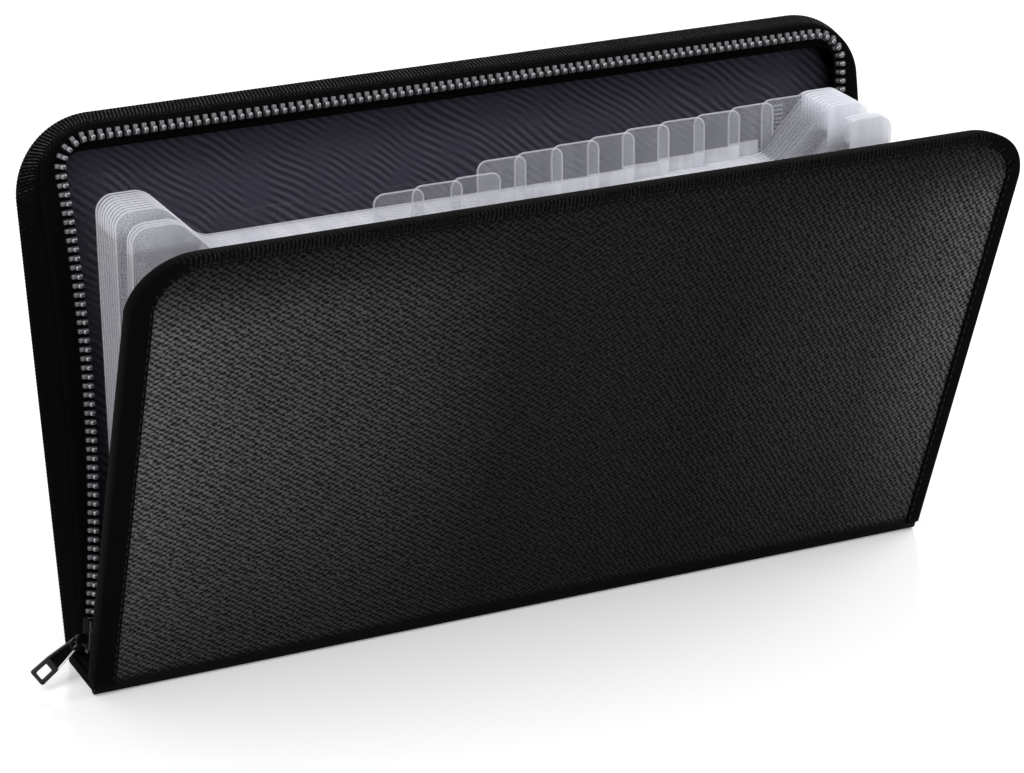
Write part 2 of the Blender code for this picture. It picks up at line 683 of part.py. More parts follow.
def sheet_line(number):
    """Foot (Y, Z) and lean in radians of any sheet, the two outer ones included, as the wallet stands."""
    if number in (0, POCKETS):
        side = -1 if number == 0 else 1
        lean = radians(FRONT_LEAN if number == 0 else -BACK_LEAN)
        across = -side * (SHEET_DEPTH - FOLD_RADIUS)
        up = FOOT_Z - AXIS_Z
        foot = Vector((across * cos(lean) - up * sin(lean), across * sin(lean) + up * cos(lean)))
        return foot + Vector((side * AXIS_Y, AXIS_Z)), lean
    return Vector((divider_y(number), FOOT_Z)), radians(divider_lean(number))


def pleat_edges(first, height):
    """Where a pocket's pleat leaves its two sheets at a height up them, as (Y, Z), and half the opening."""
    (front_foot, front_lean), (rear_foot, rear_lean) = sheet_line(first), sheet_line(first + 1)
    near = front_foot + Vector((-sin(front_lean), cos(front_lean))) * height
    near += Vector((cos(front_lean), sin(front_lean))) * LEAF_OFFSET
    far = rear_foot + Vector((-sin(rear_lean), cos(rear_lean))) * height
    far -= Vector((cos(rear_lean), sin(rear_lean))) * LEAF_OFFSET
    return near, far, max(0, (far - near).length / 2 - LEAF_HALF_FOLD)


def leaf_width():
    """The leaves are wide enough for the widest pocket."""
    return hypot(max(pleat_edges(first, GUSSET_TOP)[2] for first in range(POCKETS)), GUSSET_TOP_FOLD)


def pleat_points(first, height, wraps):
    """One pocket's pleat at a height up its sheets. It may start round the first sheet's edge."""
    near, far, half_opening = pleat_edges(first, height)
    middle = (near + far) / 2
    across = (far - near).normalized() * LEAF_HALF_FOLD
    leaf = leaf_width()
    fold_half = WRAP_HALF - sqrt(leaf * leaf - half_opening * half_opening)
    points = [(WRAP_HALF, near), (fold_half, middle - across), (fold_half, middle + across), (WRAP_HALF, far)]
    if wraps:
        lean = sheet_line(first)[1]
        sheet_back = Vector((cos(lean), sin(lean)))
        points.insert(0, (WRAP_HALF, near - sheet_back * (LEAF_OFFSET + SHEET / 2)))
    return points


def gusset(name, side, first, last, collection):
    """Pleated strip at one end of the sheets, from sheet first to sheet last."""
    wide = last - first == 1
    levels = WIDE_PLEAT_LEVELS if wide else 1
    rows = []
    for i in range(levels + 1):
        height = GUSSET_FOOT + (GUSSET_TOP - GUSSET_FOOT) * i / levels
        row = []
        for number in range(first, last):
            wraps = number == first and not wide
            row += pleat_points(number, height, wraps)
        rows.append([(side * across, point.x, point.y) for across, point in row])
    strip(name, rows, LEAF, "clear", collection)


def accordion(front, back, collection):
    plain = sheet_outline()
    foot = FOOT_Z - AXIS_Z
    flat("pocket_sheet_front", [plain], SHEET, "clear", collection, front.empty, front.y(SHEET_DEPTH), foot)
    flat("pocket_sheet_back", [plain], SHEET, "clear", collection, back.empty, back.y(SHEET_DEPTH), foot)
    for number in range(1, POCKETS):
        name = "divider_%02d" % number
        axis = empty(name + "_axis", collection, (0, divider_y(number), FOOT_Z),
                     (radians(divider_lean(number)), 0, 0))
        tab = TAB_FIRST + TAB_PITCH * (number - 1)
        flat(name, [sheet_outline(tab)], SHEET, "clear", collection, axis, 0)
    parts = (("front_pleat", 0, 1), ("front_pleats", 1, FRONT_GROUP + 1),
             ("back_pleats", FRONT_GROUP + 1, POCKETS - 1), ("back_pleat", POCKETS - 1, POCKETS))
    for where, side in (("left", -1), ("right", 1)):
        for part, first, last in parts:
            gusset("gusset_%s_%s" % (where, part), side, first, last, collection)


def spine(collection):
    """Three layers, the bindings over their ends and the floor that the sheets stand on."""
    level = 0
    for name, thickness, look in (("spine_cloth", CLOTH, "cloth"), ("spine_board", BOARD, "board"),
                                  ("spine_lining", LINING, "lining")):
        block(name, (-SPINE_HALF, -SPINE_HALF_DEPTH, level),
              (SPINE_HALF, SPINE_HALF_DEPTH, level + thickness), look, collection)
        level += thickness + GAP
    end = SPINE_HALF + GAP
    for name, side in (("spine_end_binding_left", -1), ("spine_end_binding_right", 1)):
        near, far = side * end, side * (end + SPINE_END_BINDING)
        block(name, (min(near, far), -SPINE_HALF_DEPTH, 0), (max(near, far), SPINE_HALF_DEPTH, COVER),
              "binding", collection)
    half = divider_y(POCKETS) - SHEET
    block("pocket_floor", (-SHEET_HALF, -half, FLOOR_Z), (SHEET_HALF, half, FLOOR_Z + FLOOR),
          "clear", collection)


def build():
    clear_scene()
    parts = new_collection("expanding_file_wallet")
    cutters = new_collection("cutters")
    spine(parts)
    front = Cover(empty("front_cover_axis", parts, (0, -AXIS_Y, AXIS_Z), (radians(FRONT_LEAN), 0, 0)), -1)
    back = Cover(empty("back_cover_axis", parts, (0, AXIS_Y, AXIS_Z), (radians(-BACK_LEAN), 0, 0)), 1)
    zip_path = ZipPath()
    foot_distance = BINDING_FOOT - ZIP_FOOT_HEIGHT

    panel_half = LENGTH / 2 - BINDING - GAP
    panel_top = COVER_TOP - BINDING - GAP
    panel_corner = FRONT_CORNER - BINDING - GAP
    cover_layers("front", front, panel_half, panel_top, panel_corner, EDGE_SLOPE_SHARE, parts)
    front_binding(front, panel_half, panel_top, panel_corner, parts)
    top_inset = slope_inset(FRONT_TEETH_BASE - GAP, EDGE_SLOPE_SHARE)
    front_edge = [point + inward * (TAPE_INSET * (1 + inward.y) - top_inset * inward.y)
                  for point, inward in edge_path(panel_half, BINDING_FOOT, panel_top, panel_corner)][:-1]
    zip_half("front", front, zip_path, foot_distance, FRONT_TAPE_DEPTH, front_edge, True, parts)

    inset = BAND_ROUNDING + GAP
    cover_layers("back", back, LENGTH / 2 - inset, COVER_TOP - inset, BACK_CORNER - inset, 0, parts)
    side_band(back, zip_path, foot_distance, parts)
    band_edge = edge_path(LENGTH / 2, BINDING_FOOT, COVER_TOP, BACK_CORNER, side_steps=SIDE_STEPS)
    band_front = [point.lerp(tooth, BAND_TILT_SHARE)
                  for (point, _), (tooth, _) in zip(band_edge, zip_path.matched(foot_distance))][:-1]
    zip_half("back", back, zip_path, foot_distance, BAND_DEPTH + GAP, band_front, False, parts)
    holder, pin, angle = slider(back, zip_path, parts, cutters)
    pull(holder, pin, angle, parts)

    accordion(front, back, parts)


build()
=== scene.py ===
# %% [markdown]
# # A zip-around file pouch standing open
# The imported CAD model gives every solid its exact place. This script builds what the eye meets around it:
# coated glass cloth, a sewn binding, a ribbed side wall, a metal zip, a rippled lining and a fan of frosted
# plastic sheets. Each cell makes one kind of piece and prints what it made.

import json
from math import asin, atan2, cos, hypot, pi, radians, sin, sqrt

import bmesh
import bpy
from mathutils import Matrix, Vector, noise


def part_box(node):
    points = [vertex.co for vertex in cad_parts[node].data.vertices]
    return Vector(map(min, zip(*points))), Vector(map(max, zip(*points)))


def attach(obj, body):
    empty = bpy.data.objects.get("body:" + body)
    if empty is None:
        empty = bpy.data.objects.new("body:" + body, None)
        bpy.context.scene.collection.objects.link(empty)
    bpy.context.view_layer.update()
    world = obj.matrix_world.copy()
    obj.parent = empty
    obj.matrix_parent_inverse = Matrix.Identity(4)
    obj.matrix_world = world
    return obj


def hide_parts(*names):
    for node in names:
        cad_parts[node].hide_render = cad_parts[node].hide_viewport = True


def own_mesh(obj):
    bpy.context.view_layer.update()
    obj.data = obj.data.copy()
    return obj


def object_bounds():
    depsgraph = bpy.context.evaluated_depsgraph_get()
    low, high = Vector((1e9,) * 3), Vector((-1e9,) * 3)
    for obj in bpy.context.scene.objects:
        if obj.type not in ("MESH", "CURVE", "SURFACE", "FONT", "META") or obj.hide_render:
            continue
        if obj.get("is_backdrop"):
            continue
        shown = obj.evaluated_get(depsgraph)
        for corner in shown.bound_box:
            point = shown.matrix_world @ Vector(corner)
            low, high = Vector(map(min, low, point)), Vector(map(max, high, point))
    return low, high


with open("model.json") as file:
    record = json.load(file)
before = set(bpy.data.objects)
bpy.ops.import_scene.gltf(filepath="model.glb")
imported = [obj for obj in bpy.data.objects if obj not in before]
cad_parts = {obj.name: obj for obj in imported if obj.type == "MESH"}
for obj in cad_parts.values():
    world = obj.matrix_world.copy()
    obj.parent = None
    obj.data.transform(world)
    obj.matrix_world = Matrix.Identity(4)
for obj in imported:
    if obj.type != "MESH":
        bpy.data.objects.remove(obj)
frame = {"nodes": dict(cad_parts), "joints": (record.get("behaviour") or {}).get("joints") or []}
cad_low, cad_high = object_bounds()
joints = {joint["name"]: joint for joint in frame["joints"]}

# %% [markdown]
# ## Sizes
# Lengths are in metres. They repeat the layers of the solid model, so that every dressed piece lies exactly
# where its solid is.

# %% Sizes of the wallet and its layers
MM = 1000                      # millimetres in a metre: UV maps count in millimetres
LENGTH = 0.2700
HEIGHT = 0.1566
THICKNESS = 0.0280
CLOTH = 0.0009
BOARD = 0.0012
LINING = 0.0009
GAP = 0.0003
TURN_IN = 0.0060               # cloth folded in over the board's lower edge
COVER = CLOTH + GAP + BOARD + GAP + LINING
FOLD = COVER / 2               # radius of the folds at the spine
COVER_TOP = HEIGHT - FOLD
BINDING = 0.0005
SKIN = GAP + BINDING / 2       # from the cover's edge to the middle of the binding
FOOT = 0.0022                  # height over the fold where the edges begin
FRONT_CORNER = 0.0190
PANEL_HALF = LENGTH / 2 - BINDING - GAP
PANEL_TOP = COVER_TOP - BINDING - GAP
PANEL_CORNER = FRONT_CORNER - BINDING - GAP
TOP_SLOPE = 0.5                # the front cover's top edge falls this much per unit of depth
SLOPE_START = SKIN * (TOP_SLOPE - 1 + sqrt(1 + TOP_SLOPE ** 2))     # how far it has fallen at depth 0
BAND_ROUNDING = 0.0070
BAND_CORNER = 0.0230
BACK_INSET = BAND_ROUNDING + GAP
TAPE = 0.0004
TOOTH_LENGTH = 0.0030
TOOTH_WIDTH = 0.0025
ROW_GAP = 0.0020               # between the two rows of a closed zip
FRONT_TAPE_DEPTH = COVER + GAP
FRONT_TEETH_BASE = FRONT_TAPE_DEPTH + TAPE + GAP
BACK_TEETH_TIP = THICKNESS - FRONT_TEETH_BASE - TOOTH_LENGTH - ROW_GAP
BACK_TEETH_BASE = BACK_TEETH_TIP - TOOTH_LENGTH
BAND_DEPTH = BACK_TEETH_BASE - GAP - TAPE - GAP
BAND_TILT = 0.42               # the wall's front edge lies this far in towards the teeth

# %% [markdown]
# ## The two halves
# Each half turns on its own fold, and the photograph shows both leaning away from each other. A piece is
# modelled flat, with X along the fold, Y as the depth in from the outer face and Z up the face, and then the
# half's matrix stands it up. Building in that plain space keeps every shape easy to reason about.

# %% A half of the wallet
class Half:
    """Turns points of (along the fold, depth from the outer face, height) into the row frame."""

    def __init__(self, body, joint, side):
        lean = radians(joints[joint]["range_deg"][1])
        turn = Matrix.Rotation(-side * lean, 4, "X")
        face = Matrix.Translation((0, side * FOLD, 0)) @ Matrix.Diagonal((1, -side, 1, 1))
        self.body = body
        self.flat = Matrix.Translation(joints[joint]["pos_m"]) @ turn
        self.place = self.flat @ face
        print(body, "leans", joints[joint]["range_deg"][1], "degrees")


front = Half("front_cover", "front_cover_fold", -1)
back = Half("back_cover", "back_cover_fold", 1)

# %% [markdown]
# ## Edges that go round three sides
# Binding, wall, tape and teeth all follow an edge that climbs the left side, rounds a corner and crosses the
# top. A number called a stop runs along it: 0 to 1 up the side, 1 to 2 round the corner, 2 to 3 to the middle
# of the top, and 3 to 6 mirrors that. Two edges with the same stops can be joined point by point.

# %% Edges and their stops
def ray(angle):
    """The direction at this angle from the first axis."""
    return Vector((cos(angle), sin(angle)))


def clamped(share):
    """Keeps a share between 0 and 1."""
    return min(1, max(0, share))


class Edge:
    """A straight side, a round corner and a straight top."""

    def __init__(self, half, top, corner):
        self.half, self.top, self.corner = half, top, corner

    def left(self, stop):
        centre = Vector((self.corner - self.half, self.top - self.corner))
        if stop <= 1:
            height = FOOT + (centre.y - FOOT) * stop
            return Vector((-self.half, height)), Vector((1, 0))
        if stop <= 2:
            inward = ray((1 - stop) * pi / 2)
            return centre - inward * self.corner, inward
        return Vector((centre.x * (3 - stop), self.top)), Vector((0, -1))

    def at(self, stop):
        """Point (along, height) and inward direction at a stop."""
        if stop <= 3:
            return self.left(stop)
        point, inward = self.left(6 - stop)
        return Vector((-point.x, point.y)), Vector((-inward.x, inward.y))


class ZipLine(Edge):
    """The teeth's line: its side is a shallow arc that bows in, and its corner is tight."""

    def __init__(self):
        foot_inset, foot_height, shoulder_inset, top_inset, bow = 0.0043, 0.0050, 0.0110, 0.0059, 0.0043
        self.corner = 0.0085
        self.top = COVER_TOP - top_inset
        start = Vector((foot_inset - LENGTH / 2, foot_height))
        rise = self.top - self.corner
        for _ in range(4):
            chord = Vector((shoulder_inset - LENGTH / 2, rise)) - start
            self.radius = (chord.length ** 2 / 4 + bow ** 2) / (2 * bow)
            self.lean = asin(chord.length / 2 / self.radius) - atan2(chord.x, chord.y)
            rise = self.top - self.corner * (1 + sin(self.lean))
        outward = Vector((-chord.y, chord.x)).normalized()
        self.centre = start + chord / 2 + outward * (self.radius - bow)
        self.foot_angle = atan2(start.y - self.centre.y, start.x - self.centre.x)
        self.sweep = self.lean - self.foot_angle
        end = self.centre + ray(self.lean) * self.radius
        self.corner_centre = end + ray(self.lean) * self.corner
        self.side_length = self.radius * self.sweep
        self.corner_turn = pi / 2 + self.lean
        self.corner_length = self.corner * self.corner_turn
        self.length = 2 * (self.side_length + self.corner_length - self.corner_centre.x)

    def left(self, stop):
        if stop <= 1:
            away = ray(self.foot_angle + self.sweep * stop)
            return self.centre + away * self.radius, away
        if stop <= 2:
            inward = ray(self.lean - (stop - 1) * self.corner_turn)
            return self.corner_centre - inward * self.corner, inward
        return Vector((self.corner_centre.x * (3 - stop), self.top)), Vector((0, -1))

    def stop_at(self, distance):
        """The stop at a distance from the left foot of the teeth."""
        if distance > self.length / 2:
            return 6 - self.stop_at(self.length - distance)
        if distance <= self.side_length:
            return distance / self.side_length
        if distance <= self.side_length + self.corner_length:
            return 1 + (distance - self.side_length) / self.corner_length
        along = distance - self.side_length - self.corner_length
        return 2 + along / -self.corner_centre.x


def stops(side, corner, top):
    """Stops along a whole edge, with so many steps on each side, corner and half of the top."""
    left = [first + i / steps for first, steps in enumerate((side, corner, top)) for i in range(steps)]
    return left + [3] + [6 - stop for stop in reversed(left)]


zip_line = ZipLine()
print("zip line:", round(zip_line.length * MM), "mm from foot to foot")

# %% [markdown]
# ## Two ways to make a sheet
# A strip that follows an edge is drawn as a chain of edges and extruded from track to track, as one draws a
# profile and sweeps it. A panel starts as one face, gets its corners bevelled round, and is cut into squares
# so that it can bend. Both keep, on each vertex, how far it lies along and across the cloth in millimetres.
# These become the UV map, so that a weave follows the cloth round every bend.

# %% Strips and panels
def measured(shape):
    """The two layers that say where a vertex lies on the cloth, in millimetres."""
    floats = shape.verts.layers.float
    return (floats.get("along") or floats.new("along"), floats.get("across") or floats.new("across"))


def measure_flat(shape, height=lambda spot: spot.z):
    """Measures a shape that stands upright: X is along, and the height is across."""
    along, across = measured(shape)
    for vert in shape.verts:
        vert[along], vert[across] = vert.co.x * MM, height(vert.co) * MM


def extruded(shape, edges):
    """Extrudes edges. Returns the new vertices and the new edges between them."""
    grown = bmesh.ops.extrude_edge_only(shape, edges=edges)["geom"]
    verts = [item for item in grown if isinstance(item, bmesh.types.BMVert)]
    fresh = set(verts)
    chain = [item for item in grown if isinstance(item, bmesh.types.BMEdge)]
    return verts, [edge for edge in chain if set(edge.verts) <= fresh]


def strip(tracks, at_stops):
    """A bmesh strip through tracks, each a function from a stop to (along, depth, height)."""
    shape = bmesh.new()
    stop_layer = shape.verts.layers.float.new("stop")
    along, across = measured(shape)
    vert = shape.verts.new(tracks[0](at_stops[0]))
    vert[stop_layer] = at_stops[0]
    for stop in at_stops[1:]:
        following = bmesh.ops.extrude_vert_indiv(shape, verts=[vert])["verts"][0]
        following.co = tracks[0](stop)
        following[stop_layer] = stop
        following[along] = vert[along] + (following.co - vert.co).length * MM
        vert = following
    edges = list(shape.edges)
    middle = at_stops[len(at_stops) // 3]
    for before, track in zip(tracks, tracks[1:]):
        verts, edges = extruded(shape, edges)
        step = (Vector(track(middle)) - Vector(before(middle))).length * MM
        for vert in verts:
            vert.co = track(vert[stop_layer])
            vert[across] += step
    return shape


def face(corners):
    """A bmesh of one upright face through corners of (along, height)."""
    shape = bmesh.new()
    shape.faces.new([shape.verts.new((x, 0, z)) for x, z in corners])
    return shape


def round_off(shape, points, radius, segments):
    """Bevels the corners at these points into arcs."""
    corners = [v for v in shape.verts if any(hypot(v.co.x - x, v.co.z - z) < 1e-6 for x, z in points)]
    bmesh.ops.bevel(shape, geom=corners, offset=radius, offset_type="OFFSET", segments=segments,
                    profile=0.5, affect="VERTICES", material=-1)


def cut(shape, normal, spot):
    """Cuts every face that a plane crosses."""
    bmesh.ops.bisect_plane(shape, geom=shape.verts[:] + shape.edges[:] + shape.faces[:], dist=1e-7,
                           plane_no=normal, plane_co=spot)


def cut_squares(shape, size):
    """Cuts a panel into squares of about this size."""
    for axis in (0, 2):
        low = min(v.co[axis] for v in shape.verts)
        high = max(v.co[axis] for v in shape.verts)
        count = round((high - low) / size)
        normal = Vector((axis == 0, 0, axis == 2))
        for i in range(1, count):
            cut(shape, normal, normal * (low + (high - low) * i / count))


SQUARE, CORNER_STEPS = 0.006, 14


def panel(half, bottom, top, corner):
    """A panel with round upper corners, cut into squares."""
    shape = face([(-half, bottom), (half, bottom), (half, top), (-half, top)])
    round_off(shape, [(half, top), (-half, top)], corner, CORNER_STEPS)
    cut_squares(shape, SQUARE)
    measure_flat(shape)
    return shape


# %% [markdown]
# ## From a bmesh to a piece
# Every piece ends the same way: its UV map is written, it is stood in place, its normals are made to agree,
# it gets its thickness and its finish, and it is tied to the body that carries it and to the solid it stands
# for.

# %% Finish a piece
def new_object(name, data):
    """An object with this data, linked to the scene."""
    obj = bpy.data.objects.new(name, data)
    bpy.context.scene.collection.objects.link(obj)
    return obj


def piece(name, shape, place, body, nodes, materials, thickness=0.0, sharp=40.0):
    """Makes the object, gives it its thickness and ties it to its body, nodes and slot."""
    along, across = measured(shape)
    uv = shape.loops.layers.uv.new("UVMap")
    for one_face in shape.faces:
        for loop in one_face.loops:
            loop[uv].uv = (loop.vert[along], loop.vert[across])
    bmesh.ops.transform(shape, matrix=place, verts=shape.verts)
    bmesh.ops.recalc_face_normals(shape, faces=shape.faces)
    mesh = bpy.data.meshes.new(name)
    shape.to_mesh(mesh)
    shape.free()
    mesh.shade_smooth()
    mesh.set_sharp_from_angle(angle=radians(sharp))
    for material in materials:
        mesh.materials.append(material)
    obj = new_object(name, mesh)
    if thickness:
        solid = obj.modifiers.new("Thickness", "SOLIDIFY")
        solid.thickness = thickness
        solid.offset = 0
        solid.use_even_offset = True
    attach(obj, body)
    if nodes:
        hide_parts(*nodes)
    print(name, "with", len(mesh.polygons), "faces rides on", body)
    return obj


# %% [markdown]
# ## Materials
# Colours are written as sRGB hex codes, the way a colour picker shows them, and one function turns them into
# the linear numbers that the shader works with. Another adds a node with its settings and links. The other
# two fill a node's inputs and start a material.

# %% Colour and node helpers
def colour(code):
    """Linear red, green, blue and alpha of an sRGB hex code."""
    shares = [int(code[i:i + 2], 16) / 255 for i in (0, 2, 4)]
    return [c / 12.92 if c <= 0.04045 else ((c + 0.055) / 1.055) ** 2.4 for c in shares] + [1.0]


def plug(node, inputs):
    """Sets inputs to plain values, output sockets, or nodes whose first output is meant."""
    for key, value in inputs.items():
        if isinstance(value, bpy.types.Node):
            value = value.outputs[0]
        if isinstance(value, bpy.types.NodeSocket):
            node.id_data.links.new(value, node.inputs[key])
        else:
            node.inputs[key].default_value = value


def add(tree, kind, inputs=None, **settings):
    """Adds a node with its inputs and settings."""
    node = tree.nodes.new("ShaderNode" + kind)
    for name, value in settings.items():
        setattr(node, name, value)
    plug(node, inputs or {})
    return node


def finish(name, code, roughness, **sockets):
    """A Principled material. Returns it with its tree and shader."""
    material = bpy.data.materials.new(name)
    material.use_nodes = True
    shader = material.node_tree.nodes["Principled BSDF"]
    plug(shader, {"Base Color": colour(code), "Roughness": roughness})
    plug(shader, {key.replace("_", " "): value for key, value in sockets.items()})
    print("made", name)
    return material, material.node_tree, shader


# %% [markdown]
# ### Coated glass cloth
# The outer cloth is woven glass fibre dipped in dark silicone. The coat fills the weave but leaves each yarn
# crossing standing as a short pale stroke. The strokes lie in rows 1.5 mm apart that slant down to the right,
# gently at the left end and steeply at the right end, because the cloth was drawn askew as it was glued. A
# Wave texture draws each set of rows, the two sets fade into each other across the cover, and a third wave
# is mixed in to break them into strokes. Near the fold the weave fades out to its flat, dark valley colour.
# A painted sheen makes the cover palest at its ends and darkest in the middle, and weaker towards the foot
# and the top: it stands in for the light that the coat reflects.

# %% Coated glass cloth
ROW, STROKE = 1.5, 1.45        # mm between rows, and from stroke to stroke
WAVE_SPAN = 2 * pi / 20        # a Wave texture at scale 1 repeats at this distance
ACROSS, UP = "X", "Y"          # of the UV map
coated_cloth, tree, shader = finish("silicone_coated_glass_cloth", "0b0b0b", 0.65, Specular_IOR_Level=0.03)
cloth_uv = add(tree, "TexCoord").outputs["UV"]
axes = add(tree, "SeparateXYZ", {"Vector": cloth_uv})
sets = []
for slant, pitch in ((37, ROW + 0.1), (57, ROW), (-32, STROKE)):
    turned = add(tree, "Mapping", {"Vector": cloth_uv, "Rotation": (0, 0, radians(slant))})
    sets.append(add(tree, "TexWave", {"Vector": turned, "Scale": WAVE_SPAN / pitch, "Distortion": 5.5,
                                      "Detail": 3.0, "Detail Scale": 2.2, "Detail Roughness": 0.65},
                    bands_direction="Y").outputs["Fac"])
regions = []
for axis, low, high, least, kind in ((ACROSS, -60.0, 70.0, 0.0, "SMOOTHSTEP"), (UP, 1.5, 6.0, 0.0, "LINEAR"),
                                     (ACROSS, -135.0, 135.0, 0.0, "LINEAR"), (UP, 0.0, 80.0, 0.3, "LINEAR"),
                                     (UP, 150.0, 125.0, 0.05, "SMOOTHSTEP")):
    regions.append(add(tree, "MapRange", {"Value": axes.outputs[axis], "From Min": low, "From Max": high,
                                          "To Min": least}, interpolation_type=kind))
to_right, fold_weave_fade, along_cover, above_foot, below_top = regions
rows = add(tree, "Mix", {"Factor": to_right, 2: sets[0], 3: sets[1]})
strokes = add(tree, "Mix", {"Factor": 0.45, 2: rows, 3: sets[2]})
fleck = add(tree, "TexNoise", {"Vector": cloth_uv, "Scale": 0.8, "Detail": 3.0, "Roughness": 0.7})
lit = add(tree, "MapRange", {"Value": fleck, "From Min": 0.3, "From Max": 0.7, "To Min": 0.55,
                             "To Max": 1.25})
# Painted sheen: a ramp along the cover makes it paler towards both ends than in the middle.
painted_sheen_ramp = add(tree, "ValToRGB", {"Fac": along_cover})
for element in painted_sheen_ramp.color_ramp.elements:
    element.color = (1, 1, 1, 1)
for position, share in ((0.13, 0.55), (0.28, 0.33), (0.43, 0.03), (0.68, 0.02), (0.87, 0.24)):
    painted_sheen_ramp.color_ramp.elements.new(position).color = (share, share, share, 1)
height, painted_sheen_mask = strokes, painted_sheen_ramp
# Near the fold the weave fades out to its flat, dark valley colour.
for factor in (lit, fold_weave_fade):
    height = add(tree, "Math", {0: height, 1: factor}, operation="MULTIPLY")
# The painted sheen is weaker towards the foot and the top.
for factor in (above_foot, below_top):
    painted_sheen_mask = add(tree, "Math", {0: painted_sheen_mask, 1: factor}, operation="MULTIPLY")
shade = add(tree, "ValToRGB", {"Fac": height})
pale = add(tree, "ValToRGB", {"Fac": height})
for ramp, tones in ((shade, ("030303", "212121")), (pale, ("181818", "636364"))):
    for element, position, code in zip(ramp.color_ramp.elements, (0.20, 0.80), tones):
        element.position = position
        element.color = colour(code)
# The painted sheen mixes the pale tones in over the dark ones.
cloth_colour = add(tree, "Mix", {"Factor": painted_sheen_mask, 6: shade, 7: pale}, data_type="RGBA")
bump = add(tree, "Bump", {"Height": height, "Strength": 0.25, "Distance": 0.0001})
plug(shader, {"Base Color": cloth_colour.outputs[2], "Normal": bump})

# %% [markdown]
# ### Narrow fabrics
# Binding, side wall, zip tape and lining are all plain woven polyester, dyed almost black. What tells them
# apart is the size of their ribs and how much light the yarns give back, so one function makes them all.
# Ribs run across the strip, and short specks of light sit on them where single filaments catch the light. The
# lining is only caught at its edges, so its ribs are soft slanting ripples 2.2 mm apart that wander. Their
# pale and dark stripes are painted light and shade on ripples that the mesh doesn't have; a bump gives their
# relief.

# %% Woven polyester
RIPPLE = 2.2                   # mm between the lining's ripples
PATCH = 12.0                   # mm across the patches where ribs lie flat


def woven(name, dark, light, rib, speck, grain, strength, angle=0.0, ridged=0.0, wander=1.2, reach=1.5):
    """A ribbed weave. Rib and speck are sizes in mm, grain is how much light the specks take away, and ridged
    is how much of the light colour follows the mesh's own crests. Ribs wander most with a small reach."""
    material, tree, shader = finish(name, dark, 0.85, Specular_IOR_Level=0.03)
    uv = add(tree, "TexCoord").outputs["UV"]
    laid = add(tree, "Mapping", {"Vector": uv, "Rotation": (0, 0, radians(angle))})
    ribs = add(tree, "TexWave", {"Vector": laid, "Scale": WAVE_SPAN / rib, "Distortion": wander,
                                 "Detail": 1.0, "Detail Scale": reach}, bands_direction="X")
    patches = add(tree, "TexNoise", {"Vector": uv, "Scale": 1 / PATCH, "Detail": 1.0})
    flat = add(tree, "MapRange", {"Value": patches, "From Min": 0.40, "From Max": 0.62, "To Max": 0.85})
    ribs = add(tree, "Mix", {"Factor": flat, 2: ribs.outputs["Fac"], 3: 0.5})
    yarns = add(tree, "TexWave", {"Vector": laid, "Scale": WAVE_SPAN / speck}, bands_direction="Y")
    specks = add(tree, "TexNoise", {"Vector": uv, "Scale": 1 / speck, "Detail": 2.0, "Roughness": 0.7})
    spared = add(tree, "MapRange", {"Value": specks, "To Min": 1 - grain, "To Max": 1.0})
    crests = add(tree, "Attribute", attribute_name="crest")
    rise = add(tree, "Mix", {"Factor": ridged, 2: ribs, 3: crests.outputs["Fac"]})
    lit = add(tree, "Math", {0: rise, 1: spared}, operation="MULTIPLY")
    tones = add(tree, "ValToRGB", {"Fac": lit})
    marks = (0.15 + 0.2 * ridged, 0.95 - 0.33 * grain)
    for element, position, code in zip(tones.color_ramp.elements, marks, (dark, light)):
        element.position = position
        element.color = colour(code)
    height = add(tree, "Math", {0: ribs, 1: yarns.outputs["Fac"], 2: 0.4}, operation="MULTIPLY_ADD")
    bump = add(tree, "Bump", {"Height": height, "Strength": strength, "Distance": 0.0001})
    plug(shader, {"Base Color": tones, "Normal": bump})
    return material


binding_tape = woven("woven_polyester_binding", "030303", "2c2c2e", 1.2, 0.6, 0.9, 0.3, 0.0, 0.65, 2.5)
webbing = woven("ribbed_polyester_webbing", "020202", "545458", 1.1, 0.5, 1.0, 0.4, 0.0, 0.85)
zip_fabric = woven("woven_zip_tape", "020202", "0b0b0c", 0.6, 0.4, 0.8, 0.3)
# The lining's ripples are stripes of painted light and shade, with a bump for their relief.
lining_cloth = woven("woven_polyester_lining", "312f39", "4e4c59", RIPPLE, 0.8, 0.35, 0.2, angle=-53.0,
                     wander=9.0, reach=0.25)
wall_lining = woven("coarse_wall_lining", "020202", "26262a", 0.9, 0.6, 0.9, 0.5, angle=45.0)

# %% [markdown]
# ### Sewing thread
# Filament polyester thread is smooth and a little shinier than the binding, so the stitches show as small
# highlights. A fine twist across each stitch gives it two plies.

# %% Thread
TWIST = 0.4                    # mm from ply to ply
thread, tree, shader = finish("polyester_thread", "0c0c0c", 0.5, Specular_IOR_Level=0.1)
twist = add(tree, "TexWave", {"Vector": add(tree, "TexCoord").outputs["Object"],
                              "Scale": MM * WAVE_SPAN / TWIST, "Distortion": 0.5}, bands_direction="DIAGONAL")
plug(shader, {"Normal": add(tree, "Bump", {"Height": twist.outputs["Fac"], "Strength": 0.3,
                                           "Distance": 0.00005})})
